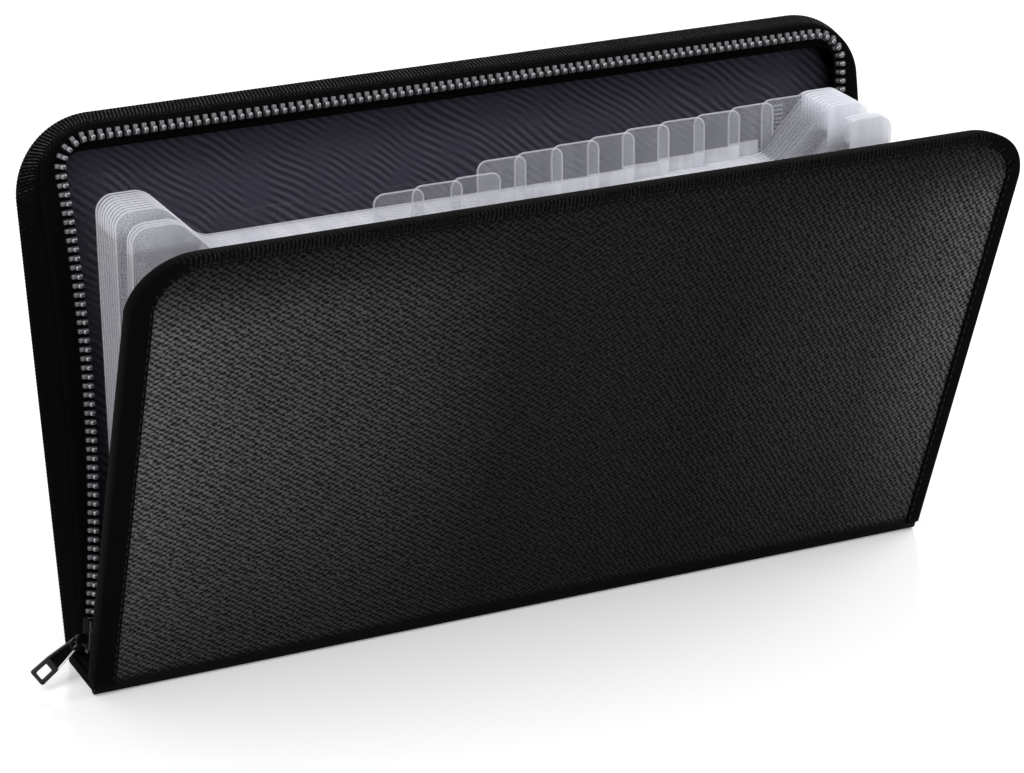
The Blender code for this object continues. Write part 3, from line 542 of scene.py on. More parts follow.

# %% [markdown]
# ### Frosted polypropylene
# The pockets are thin extruded polypropylene. One sheet is a pale veil, several behind each other turn milky
# white, and every cut edge glows because light travels inside the sheet and leaves at the rim. Alpha gives
# the veil on each of a sheet's two faces, and the rim is a second finish that is more opaque. Along the lower
# middle edges, where twelve sheets pass their light on to each other, a third finish covers the last 5 mm.
# The right ends get a fourth, more opaque finish: painted light, for the light that falls on them from the
# right. Faint streaks come from the extruder. The two outer sheets are glued to the linings, which wets their
# back and makes them nearly invisible.

# %% Clear sheet, its rim and the gusset film
def frosted(name, code, streak_code, alpha, roughness, streak):
    """Thin plastic with streaks up the sheet of this width in mm."""
    material, tree, shader = finish(name, code, roughness, Alpha=alpha, IOR=1.49, Specular_IOR_Level=0.5)
    drawn = add(tree, "Mapping", {"Vector": add(tree, "TexCoord").outputs["UV"], "Scale": (1.0, 0.06, 1.0)})
    streaks = add(tree, "TexNoise", {"Vector": drawn, "Scale": 1 / streak, "Detail": 3.0})
    tones = add(tree, "ValToRGB", {"Fac": streaks})
    for element, position, tone in zip(tones.color_ramp.elements, (0.35, 0.65), (code, streak_code)):
        element.position = position
        element.color = colour(tone)
    bump = add(tree, "Bump", {"Height": streaks, "Strength": 0.2, "Distance": 0.0002})
    plug(shader, {"Base Color": tones, "Normal": bump})
    return material


clear_sheet = frosted("frosted_polypropylene_sheet", "dfe0ea", "f0f1fa", 0.15, 0.35, 3.0)
# Painted light: the right ears take this more opaque, whiter finish, as if lit from the right.
right_end_painted_light_sheet = frosted("polypropylene_right_ears_painted_light", "ececf5", "f8f9ff", 0.53, 0.35, 3.0)
sheet_rim = frosted("cut_edge_of_polypropylene", "ecedf6", "fbfbff", 0.34, 0.3, 2.0)
lit_edge = frosted("light_guiding_edge_of_polypropylene", "e8e9f2", "fafaff", 0.46, 0.35, 2.0)
glued_sheet = frosted("glued_polypropylene_sheet", "c8c9d2", "dcdde6", 0.003, 0.4, 3.0)
glued_rim = frosted("edge_of_glued_polypropylene", "c8c9d2", "dcdde6", 0.02, 0.4, 2.0)
gusset_film = frosted("polypropylene_gusset_film", "d2d2de", "ececf6", 0.055, 0.3, 2.0)
glued_film = frosted("glued_gusset_film", "c8c8d4", "dcdce6", 0.012, 0.3, 2.0)

# %% [markdown]
# ### Metals and board
# Teeth and slider are plated zinc alloy: a metal with a soft shine. The puller's recess holds dark varnish.
# The boards are paper board dyed black, with long fibres, and only their edges ever show.

# %% Plated metal, varnish and board
def plated(name, code, roughness, metallic, grain, gloss=0.5):
    """Plated metal whose shine varies over grain of this size in mm."""
    material, tree, shader = finish(name, code, roughness, Metallic=metallic, Specular_IOR_Level=gloss)
    where = add(tree, "TexCoord").outputs["Object"]
    wear = add(tree, "TexNoise", {"Vector": where, "Scale": MM / grain, "Detail": 3.0})
    rough = add(tree, "MapRange", {"Value": wear, "To Min": roughness * 0.75, "To Max": roughness * 1.35})
    bump = add(tree, "Bump", {"Height": wear, "Strength": 0.15, "Distance": 0.0001})
    plug(shader, {"Roughness": rough, "Normal": bump})
    return material


# One plating in two copies: the darker one on the legs is painted shade where they sit in the tape, the paler
# one is for the heads.
teeth_metal = plated("nickel_plated_teeth", "626366", 0.40, 0.6, 1.0)
pale_head_metal = plated("tooth_heads_paler_than_shaded_legs", "8c8d90", 0.28, 0.7, 1.0)
# Bright metal that only one long side of the puller's rim takes: a painted highlight.
puller_highlight_metal = plated("puller_rim_painted_highlight", "b4b5b8", 0.30, 1.0, 1.5)
dark_metal = plated("gunmetal_plated_zinc", "2e2e30", 0.35, 1.0, 0.5)
dark_varnish = plated("dark_varnished_metal", "070708", 0.55, 0.0, 0.6, 0.02)

board, tree, shader = finish("black_paper_board", "181716", 0.9)
fibres = add(tree, "TexNoise", {"Vector": add(tree, "TexCoord").outputs["Object"], "Scale": 700.0,
                                "Detail": 4.0, "Distortion": 1.5})
pulp = add(tree, "ValToRGB", {"Fac": fibres})
for element, code in zip(pulp.color_ramp.elements, ("121110", "22201e")):
    element.color = colour(code)
plug(shader, {"Base Color": pulp})

# %% [markdown]
# ## Camera
# The camera stands a little to the left and above, and its long lens keeps the lines almost parallel. Its
# place was fitted to the outlines in the photograph.

# %% Camera
FRAME_WIDTH, FOCAL_LENGTH, SHIFT = 1024, 3606.4, 3        # pixels
camera_data = bpy.data.cameras.new("camera")
camera_data.sensor_width = 36.0
camera_data.lens = FOCAL_LENGTH / FRAME_WIDTH * camera_data.sensor_width
camera_data.shift_x = SHIFT / FRAME_WIDTH
camera_data.shift_y = SHIFT / FRAME_WIDTH
camera_data.clip_start = 0.05
camera = new_object("camera", camera_data)
azimuth, elevation, roll = radians(25.3), radians(22.4), radians(0.1)
looking = Vector((sin(azimuth) * cos(elevation), cos(azimuth) * cos(elevation), -sin(elevation)))
camera.location = (-0.4163, -0.8831, 0.4674)
camera.rotation_euler = (looking.to_track_quat("-Z", "Y").to_matrix().to_4x4()
                         @ Matrix.Rotation(roll, 4, "Z")).to_euler()
bpy.context.scene.camera = camera
print("camera lens", round(camera_data.lens, 1), "mm")

# %% [markdown]
# ## Light and floor
# A white studio: the world lights everything evenly, a large soft lamp on each side models the forms, a weak
# one in front fills their shadows, and the floor is a white sheet with a faint gloss. For the camera the
# floor also gives off a little light of its own, so that it reaches pure white away from the object, and
# still darkens under it.

# %% World, lamps and floor
WHITE, BLACK = (1, 1, 1, 1), (0, 0, 0, 1)
scene = bpy.context.scene
scene.view_settings.view_transform = "Standard"
world = bpy.data.worlds.new("studio")
scene.world = world
world.use_nodes = True
tree = world.node_tree
tree.nodes.clear()
path = add(tree, "LightPath").outputs
seen = path["Is Camera Ray"]
for other in ("Is Glossy Ray", "Is Transmission Ray"):
    seen = add(tree, "Math", {0: seen, 1: path[other]}, operation="MAXIMUM")
level = add(tree, "MapRange", {"Value": seen, "To Min": 0.85, "To Max": 1.0})
sky = add(tree, "Background", {"Color": WHITE, "Strength": level})
add(tree, "OutputWorld", {"Surface": sky})

LIT_SPOT = Vector((0, 0, 0.08))
for name, where, size, power in (("soft_lamp_left", (-1.0, -0.7, 1.2), 0.7, 11.0),
                                 ("soft_lamp_right", (0.9, -0.2, 1.1), 0.8, 7.0),
                                 ("front_fill", (-0.3, -1.6, 0.6), 0.9, 2.5)):
    lamp_data = bpy.data.lights.new(name, "AREA")
    lamp_data.shape = "DISK"
    lamp_data.size = size
    lamp_data.energy = power
    lamp = new_object(name, lamp_data)
    lamp.location = where
    lamp.rotation_euler = (LIT_SPOT - Vector(where)).to_track_quat("-Z", "Y").to_euler()

floor_shape = bmesh.new()
bmesh.ops.create_grid(floor_shape, x_segments=1, y_segments=1, size=6)
floor_mesh = bpy.data.meshes.new("floor")
floor_shape.to_mesh(floor_mesh)
floor_shape.free()
floor = new_object("floor", floor_mesh)
floor.location.z = cad_low.z - 0.0002
paper, tree, shader = finish("white_studio_floor", "f2f2f2", 0.20, IOR=1.8)
dark = add(tree, "Emission", {"Color": BLACK})
glow = add(tree, "Emission", {"Color": WHITE, "Strength": 0.17})
own = add(tree, "MixShader", {"Fac": add(tree, "LightPath").outputs["Is Camera Ray"], 1: dark, 2: glow})
plug(tree.nodes["Material Output"], {"Surface": add(tree, "AddShader", {0: shader, 1: own})})
floor_mesh.materials.append(paper)
floor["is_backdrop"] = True
print("floor at", round(floor.location.z * MM, 2), "mm")

# %% [markdown]
# ## Outer cloth of the covers
# Each cover's cloth lies over its board, rounds the fold at the spine and turns in over the board's lower
# edge. The panel is cut into squares, its lower edge is extruded step by step round the fold, and the face
# gets a slight crown with slow waves, because sewn cloth is never quite flat. The waves are what break up the
# reflections.

# %% Cover cloths
FOLD_STEPS, TURN_IN_STEPS = 8, 2
CROWN = 0.0003                 # height of the crown, and of its waves


def waves(x, z, seed, size):
    """A slow wave between -1 and 1."""
    return noise.noise(Vector((x / size + seed, z / size, seed)))


def cover_cloth(name, half, side_half, top, corner, seed):
    shape = panel(side_half, 0, top, corner)
    for vert in shape.verts:
        x, z = vert.co.x, vert.co.z
        rim = min(side_half - abs(x), top - z, z) / 0.02
        crown = 1 - (1 - min(rim, 1)) ** 2
        vert.co.y = CLOTH / 2 - crown * (CROWN + CROWN * waves(x, z, seed, 0.05))
    across = measured(shape)[1]
    edges = [e for e in shape.edges if all(abs(v.co.z) < 1e-6 for v in e.verts)]
    for i in range(FOLD_STEPS + TURN_IN_STEPS):
        verts, edges = extruded(shape, edges)
        if i < FOLD_STEPS:
            bmesh.ops.rotate(shape, verts=verts, cent=(0, FOLD, 0),
                             matrix=Matrix.Rotation(pi / FOLD_STEPS, 3, "X"))
            step = pi * FOLD / FOLD_STEPS
        else:
            step = TURN_IN / TURN_IN_STEPS
            bmesh.ops.translate(shape, verts=verts, vec=(0, 0, step))
        for vert in verts:
            vert[across] -= step * MM
    return piece(name, shape, half.place, half.body, [half.body.replace("cover", "cloth")],
                 [coated_cloth], CLOTH)


BACK_PANEL = (LENGTH / 2 - BACK_INSET, COVER_TOP - BACK_INSET, BAND_CORNER - BACK_INSET)
cover_cloth("front_cover_cloth", front, PANEL_HALF, PANEL_TOP - (TOP_SLOPE * CLOTH + SLOPE_START),
            PANEL_CORNER, 3.1)
cover_cloth("back_cover_cloth", back, *BACK_PANEL, 7.7)

# %% [markdown]
# ## Linings
# The inner cloth is stretched over the board and caught at its edges. It is a panel cut into squares, like
# the outer cloth, with shallow hollows a few centimetres wide. Its fine ripples are in its finish, as a bump
# with painted light and shade.

# %% Linings
def cover_lining(name, half, side_half, top, corner, seed):
    shape = panel(side_half, TURN_IN + GAP, top, corner)
    for vert in shape.verts:
        x, z = vert.co.x, vert.co.z
        rim = clamped(min(side_half - abs(x), top - z) / 0.012)
        vert.co.y = COVER - LINING / 2 + 0.00015 * rim * waves(x, z, seed, 0.03)
    return piece(name, shape, half.place, half.body, [half.body.replace("cover", "lining")],
                 [lining_cloth], LINING * 0.8)


cover_lining("front_inner_lining", front, PANEL_HALF - GAP,
             PANEL_TOP - GAP - (TOP_SLOPE * COVER + SLOPE_START), PANEL_CORNER - GAP, 1.7)
cover_lining("back_inner_lining", back, *(size - GAP for size in BACK_PANEL), 4.2)

# %% [markdown]
# ## Binding of the front cover
# A woven tape is folded over the raw edges of cloth, board and lining and sewn down near its inner edge. Its
# section is a U with soft bends. Round the corners the tape has too much length on its inner side, so it
# gathers in small slanting pleats, which are pushed into the section there. Round the corners and along the
# top an attribute named crest is high and brings out the ribs' pale yarns: painted light, where the tape
# faces up to the lamps.

# %% Folded binding
LEFT_BINDING, RIGHT_BINDING, TOP_BINDING = 0.0056, 0.0040, 0.0034
INNER_FACE = FRONT_TEETH_BASE + BINDING / 2
rim_edge = Edge(PANEL_HALF, PANEL_TOP, PANEL_CORNER)


def gathers(stop, lag):
    """Small pleats round a corner, 0 elsewhere."""
    near = stop if stop <= 3 else 6 - stop
    if not 0.85 < near < 2.15:
        return 0
    return min(1, (near - 0.85) / 0.2, (2.15 - near) / 0.2) * sin(near * 26 + lag)


def binding_width(stop):
    """Width of the binding on the cover's face: it was sewn widest up the left side."""
    side = LEFT_BINDING if stop <= 3 else RIGHT_BINDING
    return side + (TOP_BINDING - side) * clamped(min(stop, 6 - stop) - 1)


def binding_track(share, inset, depth, puff=0.0, lag=0.0):
    """A line of the binding at a share of its width and an inset from the cover's edge, and at a depth from
    its face. Puff and lag are the height and the phase of the gathers."""
    def track(stop):
        point, inward = rim_edge.at(stop)
        back_share = (depth + SKIN) / (INNER_FACE + SKIN)
        slope = inward * (TOP_SLOPE * (INNER_FACE + SKIN) * back_share * max(0, -inward.y))
        place = point + inward * (inset + share * binding_width(stop)) + slope
        return place.x, depth - puff * gathers(stop, lag), place.y
    return track


def set_crests(shape, crest_at):
    """Writes the attribute crest, worked out from a vertex, its stop and the stop's distance to its foot."""
    crest = shape.verts.layers.float.new("crest")
    stop_layer = shape.verts.layers.float["stop"]
    for vert in shape.verts:
        stop = vert[stop_layer]
        vert[crest] = crest_at(vert, stop, min(stop, 6 - stop))


section = ((1, 0, -0.00030), (1, -0.0002, -SKIN, 0.0001, 2.2), (0.67, 0, -SKIN - 0.00012, 0.00014, 1.6),
           (0.33, 0, -SKIN - 0.00012, 0.00014, 0.9), (0, 0.0002, -SKIN, 0.0001, 0.3),
           (0, -0.0003, -SKIN + 0.00015), (0, -SKIN, -SKIN + 0.0005),
           (0, -SKIN - 0.0001, (INNER_FACE - SKIN) / 2), (0, -SKIN, INNER_FACE - 0.0005),
           (0, -0.0003, INNER_FACE - 0.00012), (0, 0.0002, INNER_FACE), (0, 0.0009, INNER_FACE))
shape = strip([binding_track(*point) for point in section], stops(60, 60, 50))
# The crest rises round the corners and stays high along the top: painted light on the upward-facing tape.
set_crests(shape, lambda vert, stop, near: 0.6 * clamped(near - 1))
piece("front_edge_binding", shape, front.place, "front_cover", ["front_binding"],
      [binding_tape], BINDING)

# %% [markdown]
# ## Stitches
# Lock stitches hold the binding down: short thread humps, one every 3 mm, that dip into the tape at each end.
# A stretched ball of a few faces is plenty for each.

# %% Stitches
STITCH_PITCH = 0.0030
STITCH_HALVES = (0.00105, 0.00022, 0.00024)      # half its length, height and width
STITCH_INSET = 0.0007          # from the binding's inner edge


def stitch_row(name, edge, depth, place, body):
    """A row of stitches just inside the binding's inner edge."""
    shape = bmesh.new()
    count = 0
    travelled = 0.0
    before = None
    for stop in stops(400, 120, 400):
        point, inward = edge.at(stop)
        here = point + inward * (binding_width(stop) - STITCH_INSET)
        if before is not None:
            travelled += (here - before).length
        before = here
        if travelled < STITCH_PITCH * (count + 1):
            continue
        count += 1
        spot = here + inward * (TOP_SLOPE * depth * max(0, -inward.y))
        matrix = (Matrix.Translation((spot.x, depth, spot.y))
                  @ Matrix.Rotation(atan2(-inward.x, inward.y), 4, "Y")
                  @ Matrix.Diagonal((*STITCH_HALVES, 1)) @ Matrix.Rotation(pi / 2, 4, "Y"))
        bmesh.ops.create_uvsphere(shape, u_segments=6, v_segments=5, radius=1, matrix=matrix)
    print(count, "stitches")
    return piece(name, shape, place, body, [], [thread], sharp=80)


stitch_row("front_binding_stitches", rim_edge, -SKIN - BINDING / 2, front.place, "front_cover")

# %% [markdown]
# ## Side wall of the back half
# A wide ribbed webbing starts at the back, rounds its edge and comes forward to the zip, leaning in a little.
# Its ribs run from back to front and are real ridges, because they break up the wall's outline against the
# white background. They show palest along the top, which is painted light where the wall faces up, and on
# the turned hem at its front edge. An inner cloth lines it.

# %% Ribbed side wall and its lining
ROUND_STEPS, WALL_STEPS = 6, 5
HEM = 0.0015
RIDGE, INNER_RIDGE = 0.00012, 0.00008
INNER_OFFSET = 0.0003          # from the wall to the middle of its lining, past the gap
band_edge = Edge(LENGTH / 2, COVER_TOP, BAND_CORNER)
rib_stops = stops(236, 64, 200)
rib_index = {round(stop, 4): i for i, stop in enumerate(rib_stops)}


def ribbing(stop):
    """Ridge height, 0 or 1, at a stop on the wall."""
    return rib_index.get(round(stop, 4), 0) % 2


def wall_track(across, depth, ridge, forward=0.0):
    """A line of the wall: forward 0 is at the edge, 1 at the wall's front edge."""
    def track(stop):
        point, inward = band_edge.at(stop)
        leaning = point.lerp(zip_line.at(stop)[0], BAND_TILT * forward)
        place = leaning + inward * (across - ridge * ribbing(stop))
        return place.x, depth, place.y
    return track


def wall_tracks(radius, inset, start_depth, ridge):
    """Tracks round the rounding, then forward along the wall, with ridges of this height."""
    begin = asin(max(-1, min(1, (BAND_ROUNDING - start_depth) / radius)))
    angles = [begin * (1 - i / ROUND_STEPS) for i in range(ROUND_STEPS + 1)]
    tracks = [wall_track(BAND_ROUNDING - radius * cos(angle), BAND_ROUNDING - radius * sin(angle), ridge)
              for angle in angles]
    for i in range(1, WALL_STEPS + 1):
        share = i / WALL_STEPS
        tracks.append(wall_track(inset, BAND_ROUNDING + (BAND_DEPTH - BAND_ROUNDING) * share,
                                 ridge * (1 if share < 1 else 0.3), share))
    return tracks


def wall_crest(vert, stop, near):
    """Where the ribs show pale: most along the top, as painted light where the wall faces up, and on the hem
    whether they stand or not.
    """
    painted_top_light = 0.35 + 0.65 * min(1, max(0, near - 0.6) / 0.8)
    return painted_top_light * (0.6 if vert.co.y > BAND_DEPTH - HEM else ribbing(stop))


wall = strip(wall_tracks(BAND_ROUNDING - CLOTH / 2, CLOTH / 2, CLOTH / 2, RIDGE), rib_stops)
set_crests(wall, wall_crest)
piece("back_side_wall", wall, back.place, "back_cover", ["side_band"], [webbing],
      CLOTH * 0.8, sharp=60)
inner = strip(wall_tracks(BAND_ROUNDING - CLOTH - GAP - INNER_OFFSET, CLOTH + GAP + INNER_OFFSET,
                          COVER - INNER_OFFSET, INNER_RIDGE), stops(118, 32, 100))
piece("back_side_wall_lining", inner, back.place, "back_cover", ["side_band_lining"],
      [wall_lining], 0.0006)

# %% [markdown]
# ## Zip tapes
# The tapes are flat rings of woven polyester. Their outer edge is sewn to the cover or the wall, and their
# inner edge passes just under the teeth. Along the top the back tape is made wider, so that a black stripe of
# it lies under the teeth as a painted shadow, the one that the top wall casts on the lining.

# %% Zip tapes
TEETH_MARGIN = TOOTH_WIDTH / 2 + 0.0002
TAPE_INSET = 0.0010            # from the cover's edge to the front tape's
# A painted shadow: the back tape is this much wider along the top, so that its black stripe shows under the
# teeth.
TOP_SHADOW_STRIPE = 0.0022           # how much wider the back tape's free edge is along the top


def tape(name, half, outer, depth, node, shadow_stripe=0.0):
    """A ring from an outer track to just past the teeth, and wider along the top by a stripe that is a
    painted shadow.
    """
    def between(share):
        def track(stop):
            tooth, inward = zip_line.at(stop)
            inner = tooth + inward * (TEETH_MARGIN + shadow_stripe * max(0, -inward.y) ** 3)
            place = outer(stop).lerp(inner, share)
            return place.x, depth, place.y
        return track
    tracks = [between(share) for share in (0, 0.25, 0.5, 0.75, 0.9, 1.0)]
    return piece(name, strip(tracks, stops(60, 24, 50)), half.place, half.body, [node],
                 [zip_fabric], TAPE)


def front_tape_edge(stop):
    point, inward = rim_edge.at(stop)
    slope = TOP_SLOPE * (FRONT_TEETH_BASE - GAP) + SLOPE_START
    return point + inward * (TAPE_INSET * (1 + inward.y) - slope * inward.y)


def back_tape_edge(stop):
    point, _ = band_edge.at(stop)
    return point.lerp(zip_line.at(stop)[0], BAND_TILT)


tape("front_tape", front, front_tape_edge, FRONT_TAPE_DEPTH + TAPE / 2, "front_zip_tape")
tape("back_tape", back, back_tape_edge, BAND_DEPTH + GAP + TAPE / 2, "back_zip_tape", TOP_SHADOW_STRIPE)

# %% [markdown]
# ## Teeth
# Each tooth is a small casting: two legs that clamp the tape's cord, a waist and a rounded head. There are
# nearly two hundred a side, so one tooth has only a few dozen faces: two bevelled blocks, set out one by one
# along the zip line. The two rows are half a pitch apart, as they must be to mesh.

# %% Teeth and end stops
TOOTH_PITCH, TOOTH_THICKNESS = 0.0026, 0.0013
LEGS, HEAD = 0.0014, 0.0020    # depth of the legs and of the head
LEG_SHIFT = 0.0004             # the legs stand this far out from the teeth's line
STOP_BLOCK = Vector((0.0018, 0.0028, 0.0029))


def on_zip(point, inward, depth):
    """Stands a block on the zip line: X along it, Y in depth, Z across it."""
    heading = Matrix(((inward.y, 0, inward.x, 0), (0, 1, 0, 0), (-inward.x, 0, inward.y, 0), (0, 0, 0, 1)))
    return Matrix.Translation((point.x, depth, point.y)) @ heading


def bevelled_block(shape, matrix, size, amount, segments=1, edge_slot=0):
    """A box of this size with bevelled edges, centred on the matrix."""
    made = bmesh.ops.create_cube(shape, size=1, matrix=matrix @ Matrix.Diagonal((*size, 1)))
    edges = list({edge for vert in made["verts"] for edge in vert.link_edges})
    soft = bmesh.ops.bevel(shape, geom=edges, offset=amount, offset_type="OFFSET", segments=segments,
                           profile=0.5, affect="EDGES", material=-1)
    for edge_face in soft["faces"]:
        edge_face.material_index = edge_slot


def teeth(name, half, base, node, offset):
    """One row of teeth from foot to foot."""
    shape = bmesh.new()
    count = int(zip_line.length / TOOTH_PITCH - offset)
    start = (zip_line.length - (count - 1) * TOOTH_PITCH) / 2
    for i in range(count):
        point, inward = zip_line.at(zip_line.stop_at(start + i * TOOTH_PITCH))
        # The legs take the darker copy of the plating as painted shade, the heads the paler one.
        legs = on_zip(point, inward, base + LEGS / 2) @ Matrix.Translation((0, 0, -LEG_SHIFT))
        bevelled_block(shape, legs, (TOOTH_THICKNESS, LEGS, TOOTH_WIDTH * 1.2), 0.0002)
        bevelled_block(shape, on_zip(point, inward, base + TOOTH_LENGTH - HEAD / 2),
                       (TOOTH_THICKNESS, HEAD, TOOTH_WIDTH * 0.68), 0.00035, 1, 1)
    print(count, "teeth")
    return piece(name, shape, half.place, half.body, [node], [teeth_metal, pale_head_metal],
                 sharp=50)


def end_stop(name, half, base, side, node):
    """A clamped metal stop past the last tooth."""
    point, inward = zip_line.left(0)
    point -= Vector((-inward.y, inward.x)) * (GAP + STOP_BLOCK.x / 2)
    shape = bmesh.new()
    bevelled_block(shape, on_zip(point, inward, base + STOP_BLOCK.y / 2), STOP_BLOCK, 0.0004, 2)
    if side > 0:
        bmesh.ops.scale(shape, vec=(-1, 1, 1), verts=shape.verts)
    return piece(name, shape, half.place, half.body, [node], [dark_metal])


teeth("front_teeth_row", front, FRONT_TEETH_BASE, "front_zip_teeth", 0.5)
teeth("back_teeth_row", back, BACK_TEETH_BASE, "back_zip_teeth", 0.0)
for side, word in ((-1, "left"), (1, "right")):
    end_stop("front_end_stop_" + word, front, FRONT_TEETH_BASE, side, "front_stop_" + word)
    end_stop("back_end_stop_" + word, back, BACK_TEETH_BASE, side, "back_stop_" + word)

# %% [markdown]
# ## Slider and puller
# The slider sits at the lower left end of the zip: two plates over the teeth, joined by a wedge, with two
# ears that hold a pin. It is varnished black, and only the bevels on the outer plate's front edge take the
# teeth's metal finish. The puller is a flat casting that hangs on the pin. It has a raised rim, a dark recess
# and an open window at its end. One long side of its rim is bright metal, a painted highlight; the rest of
# the casting is gunmetal.

# %% Slider
SLIDER_LENGTH, SLIDER_WIDTH = 0.0085, 0.0064
PLATE = 0.0007
CHANNEL = TOOTH_WIDTH / 2 + 0.0008
SLIDER_FACE = CHANNEL + PLATE
PULL_THICKNESS = 0.0012
EYE = 0.0014
EAR_SIZE = (0.0008, 0.0024)    # thickness and length of the slider's ears
PIN_DROP, PIN_RADIUS, PIN_LENGTH = 0.0015, 0.0006, 0.0026
slider_angle = zip_line.foot_angle + SLIDER_LENGTH / 2 / zip_line.radius
zip_middle = (BACK_TEETH_TIP + THICKNESS - FRONT_TEETH_BASE - TOOTH_LENGTH) / 2
slider_spot = zip_line.centre + ray(slider_angle) * zip_line.radius
slider_place = (back.flat @ Matrix.Translation((slider_spot.x, FOLD - zip_middle, slider_spot.y))
                @ Matrix.Rotation(-slider_angle, 4, "Y"))
shape = bmesh.new()
for side in (-1, 1):
    bevelled_block(shape, Matrix.Translation((side * (CHANNEL + PLATE / 2), 0, 0)),
                   (PLATE, SLIDER_WIDTH, SLIDER_LENGTH), 0.00022, 2, 1)
for plate_face in shape.faces:
    if plate_face.normal.y > -0.5 or plate_face.calc_center_median().x > 0:
        plate_face.material_index = 0
bevelled_block(shape, Matrix.Translation((0, 0, SLIDER_LENGTH / 2 - 0.0012)),
               (2 * CHANNEL + 0.0002, 0.0014, 0.0023), 0.0003, 2)
pin_x = -(SLIDER_FACE + GAP + EYE)
ear_low, ear_high = pin_x - 2 * PIN_RADIUS, PLATE / 2 - SLIDER_FACE
for side in (-1, 1):
    ear_y = side * (PULL_THICKNESS / 2 + GAP + EAR_SIZE[0] / 2)
    bevelled_block(shape, Matrix.Translation(((ear_low + ear_high) / 2, ear_y, -PIN_DROP)),
                   (ear_high - ear_low, *EAR_SIZE), 0.0003, 2)
pin_place = Matrix.Translation((pin_x, 0, -PIN_DROP))
bmesh.ops.create_cone(shape, cap_ends=True, segments=20, radius1=PIN_RADIUS, radius2=PIN_RADIUS,
                      depth=PIN_LENGTH, matrix=pin_place @ Matrix.Rotation(pi / 2, 4, "X"))
piece("slider_casting", shape, slider_place, "slider", ["zip_slider"],
      [dark_varnish, teeth_metal])

# %% [markdown]
# The puller is drawn flat as one face, its corners are rounded, the window is cut by an inset face that is
# taken away, and the middle is inset and sunk to leave the rim. The eye is a spun ring joined to its neck.

# %% Puller
PULL_LENGTH, PULL_HALF, NECK_HALF, NECK = 0.0166, 0.0027, 0.0016, 0.0030
PULL_DROP = 33.0               # degrees below level
WINDOW = 0.0044
RIM = 0.0011
HOLE_RADIUS = 0.0009           # of the eye
window_end = -PULL_LENGTH + WINDOW
bar_start, bar_half = window_end + 2 * RIM, PULL_HALF * 0.93
shape = face([(-NECK, -NECK_HALF), (-NECK, NECK_HALF), (bar_start, bar_half), (-PULL_LENGTH, PULL_HALF),
              (-PULL_LENGTH, -PULL_HALF), (bar_start, -bar_half)])
round_off(shape, [(-PULL_LENGTH, PULL_HALF), (-PULL_LENGTH, -PULL_HALF)], 0.0007, 4)
cut(shape, (1, 0, 0), (window_end + 1.5 * RIM, 0, 0))
shape.faces.ensure_lookup_table()
window_face = min(shape.faces, key=lambda f: f.calc_center_median().x)
bar_face = max(shape.faces, key=lambda f: f.calc_center_median().x)
for inner, width in ((window_face, RIM), (bar_face, RIM * 0.5)):
    bmesh.ops.inset_region(shape, faces=[inner], thickness=width, use_boundary=True, use_even_offset=True)
bmesh.ops.delete(shape, geom=[window_face], context="FACES")
bmesh.ops.recalc_face_normals(shape, faces=shape.faces)
grown = bmesh.ops.extrude_face_region(shape, geom=shape.faces[:])["geom"]
bmesh.ops.translate(shape, verts=[item for item in grown if isinstance(item, bmesh.types.BMVert)],
                    vec=(0, PULL_THICKNESS, 0))
bmesh.ops.translate(shape, verts=shape.verts, vec=(0, -PULL_THICKNESS / 2, 0))
bmesh.ops.recalc_face_normals(shape, faces=shape.faces)
bar_faces = [f for f in shape.faces if abs(f.normal.y) > 0.9 and bar_start < f.calc_center_median().x]
recesses = sorted(bar_faces, key=lambda f: f.calc_area())[-2:]
for sunk in recesses:
    sunk.material_index = 1
    bmesh.ops.translate(shape, verts=sunk.verts, vec=sunk.normal * -0.00025)
# One long side of the rim takes the bright metal as a painted highlight.
for rim_face in shape.faces:
    middle = rim_face.calc_center_median()
    if middle.z < -NECK_HALF and middle.x > window_end + 1.6 * RIM and rim_face not in recesses:
        rim_face.material_index = 2
outer_edges = [e for e in shape.edges if len(e.link_faces) == 2 and e.calc_face_angle() > 1.2]
bmesh.ops.bevel(shape, geom=outer_edges, offset=0.00014, offset_type="OFFSET", segments=2, profile=0.5,
                affect="EDGES", material=-1)
ring = bmesh.ops.create_circle(shape, cap_ends=False, segments=10, radius=(EYE - HOLE_RADIUS) / 2 + 0.00012,
                               matrix=Matrix.Translation(((EYE + HOLE_RADIUS) / 2, 0, 0))
                               @ Matrix.Diagonal((1, PULL_THICKNESS / 0.00074, 1, 1)))
bmesh.ops.spin(shape, geom=ring["verts"] + list({e for v in ring["verts"] for e in v.link_edges}),
               cent=(0, 0, 0), axis=(0, 1, 0), angle=2 * pi, steps=24, use_merge=True, use_duplicate=False)
for side in (-1, 1):
    bevelled_block(shape, Matrix.Translation((-0.0021, 0, side * 0.0011)),
                   (0.0022, PULL_THICKNESS * 0.9, 0.0009), 0.00012)
pull_place = slider_place @ pin_place @ Matrix.Rotation(slider_angle - radians(PULL_DROP), 4, "Y")
piece("puller_casting", shape, pull_place, "pull", ["zip_pull"],
      [dark_metal, dark_varnish, puller_highlight_metal])

# %% [markdown]
# ## Sheets of the accordion
# Every sheet has the same outline: raised ends, a lower middle edge and, on the twelve dividers, one tab that
# sits a little further right on each sheet. The outline is one face with bevelled corners. An inset keeps a
# narrow rim along every cut edge for the brighter finish, and the sheet gets a very slight bow.

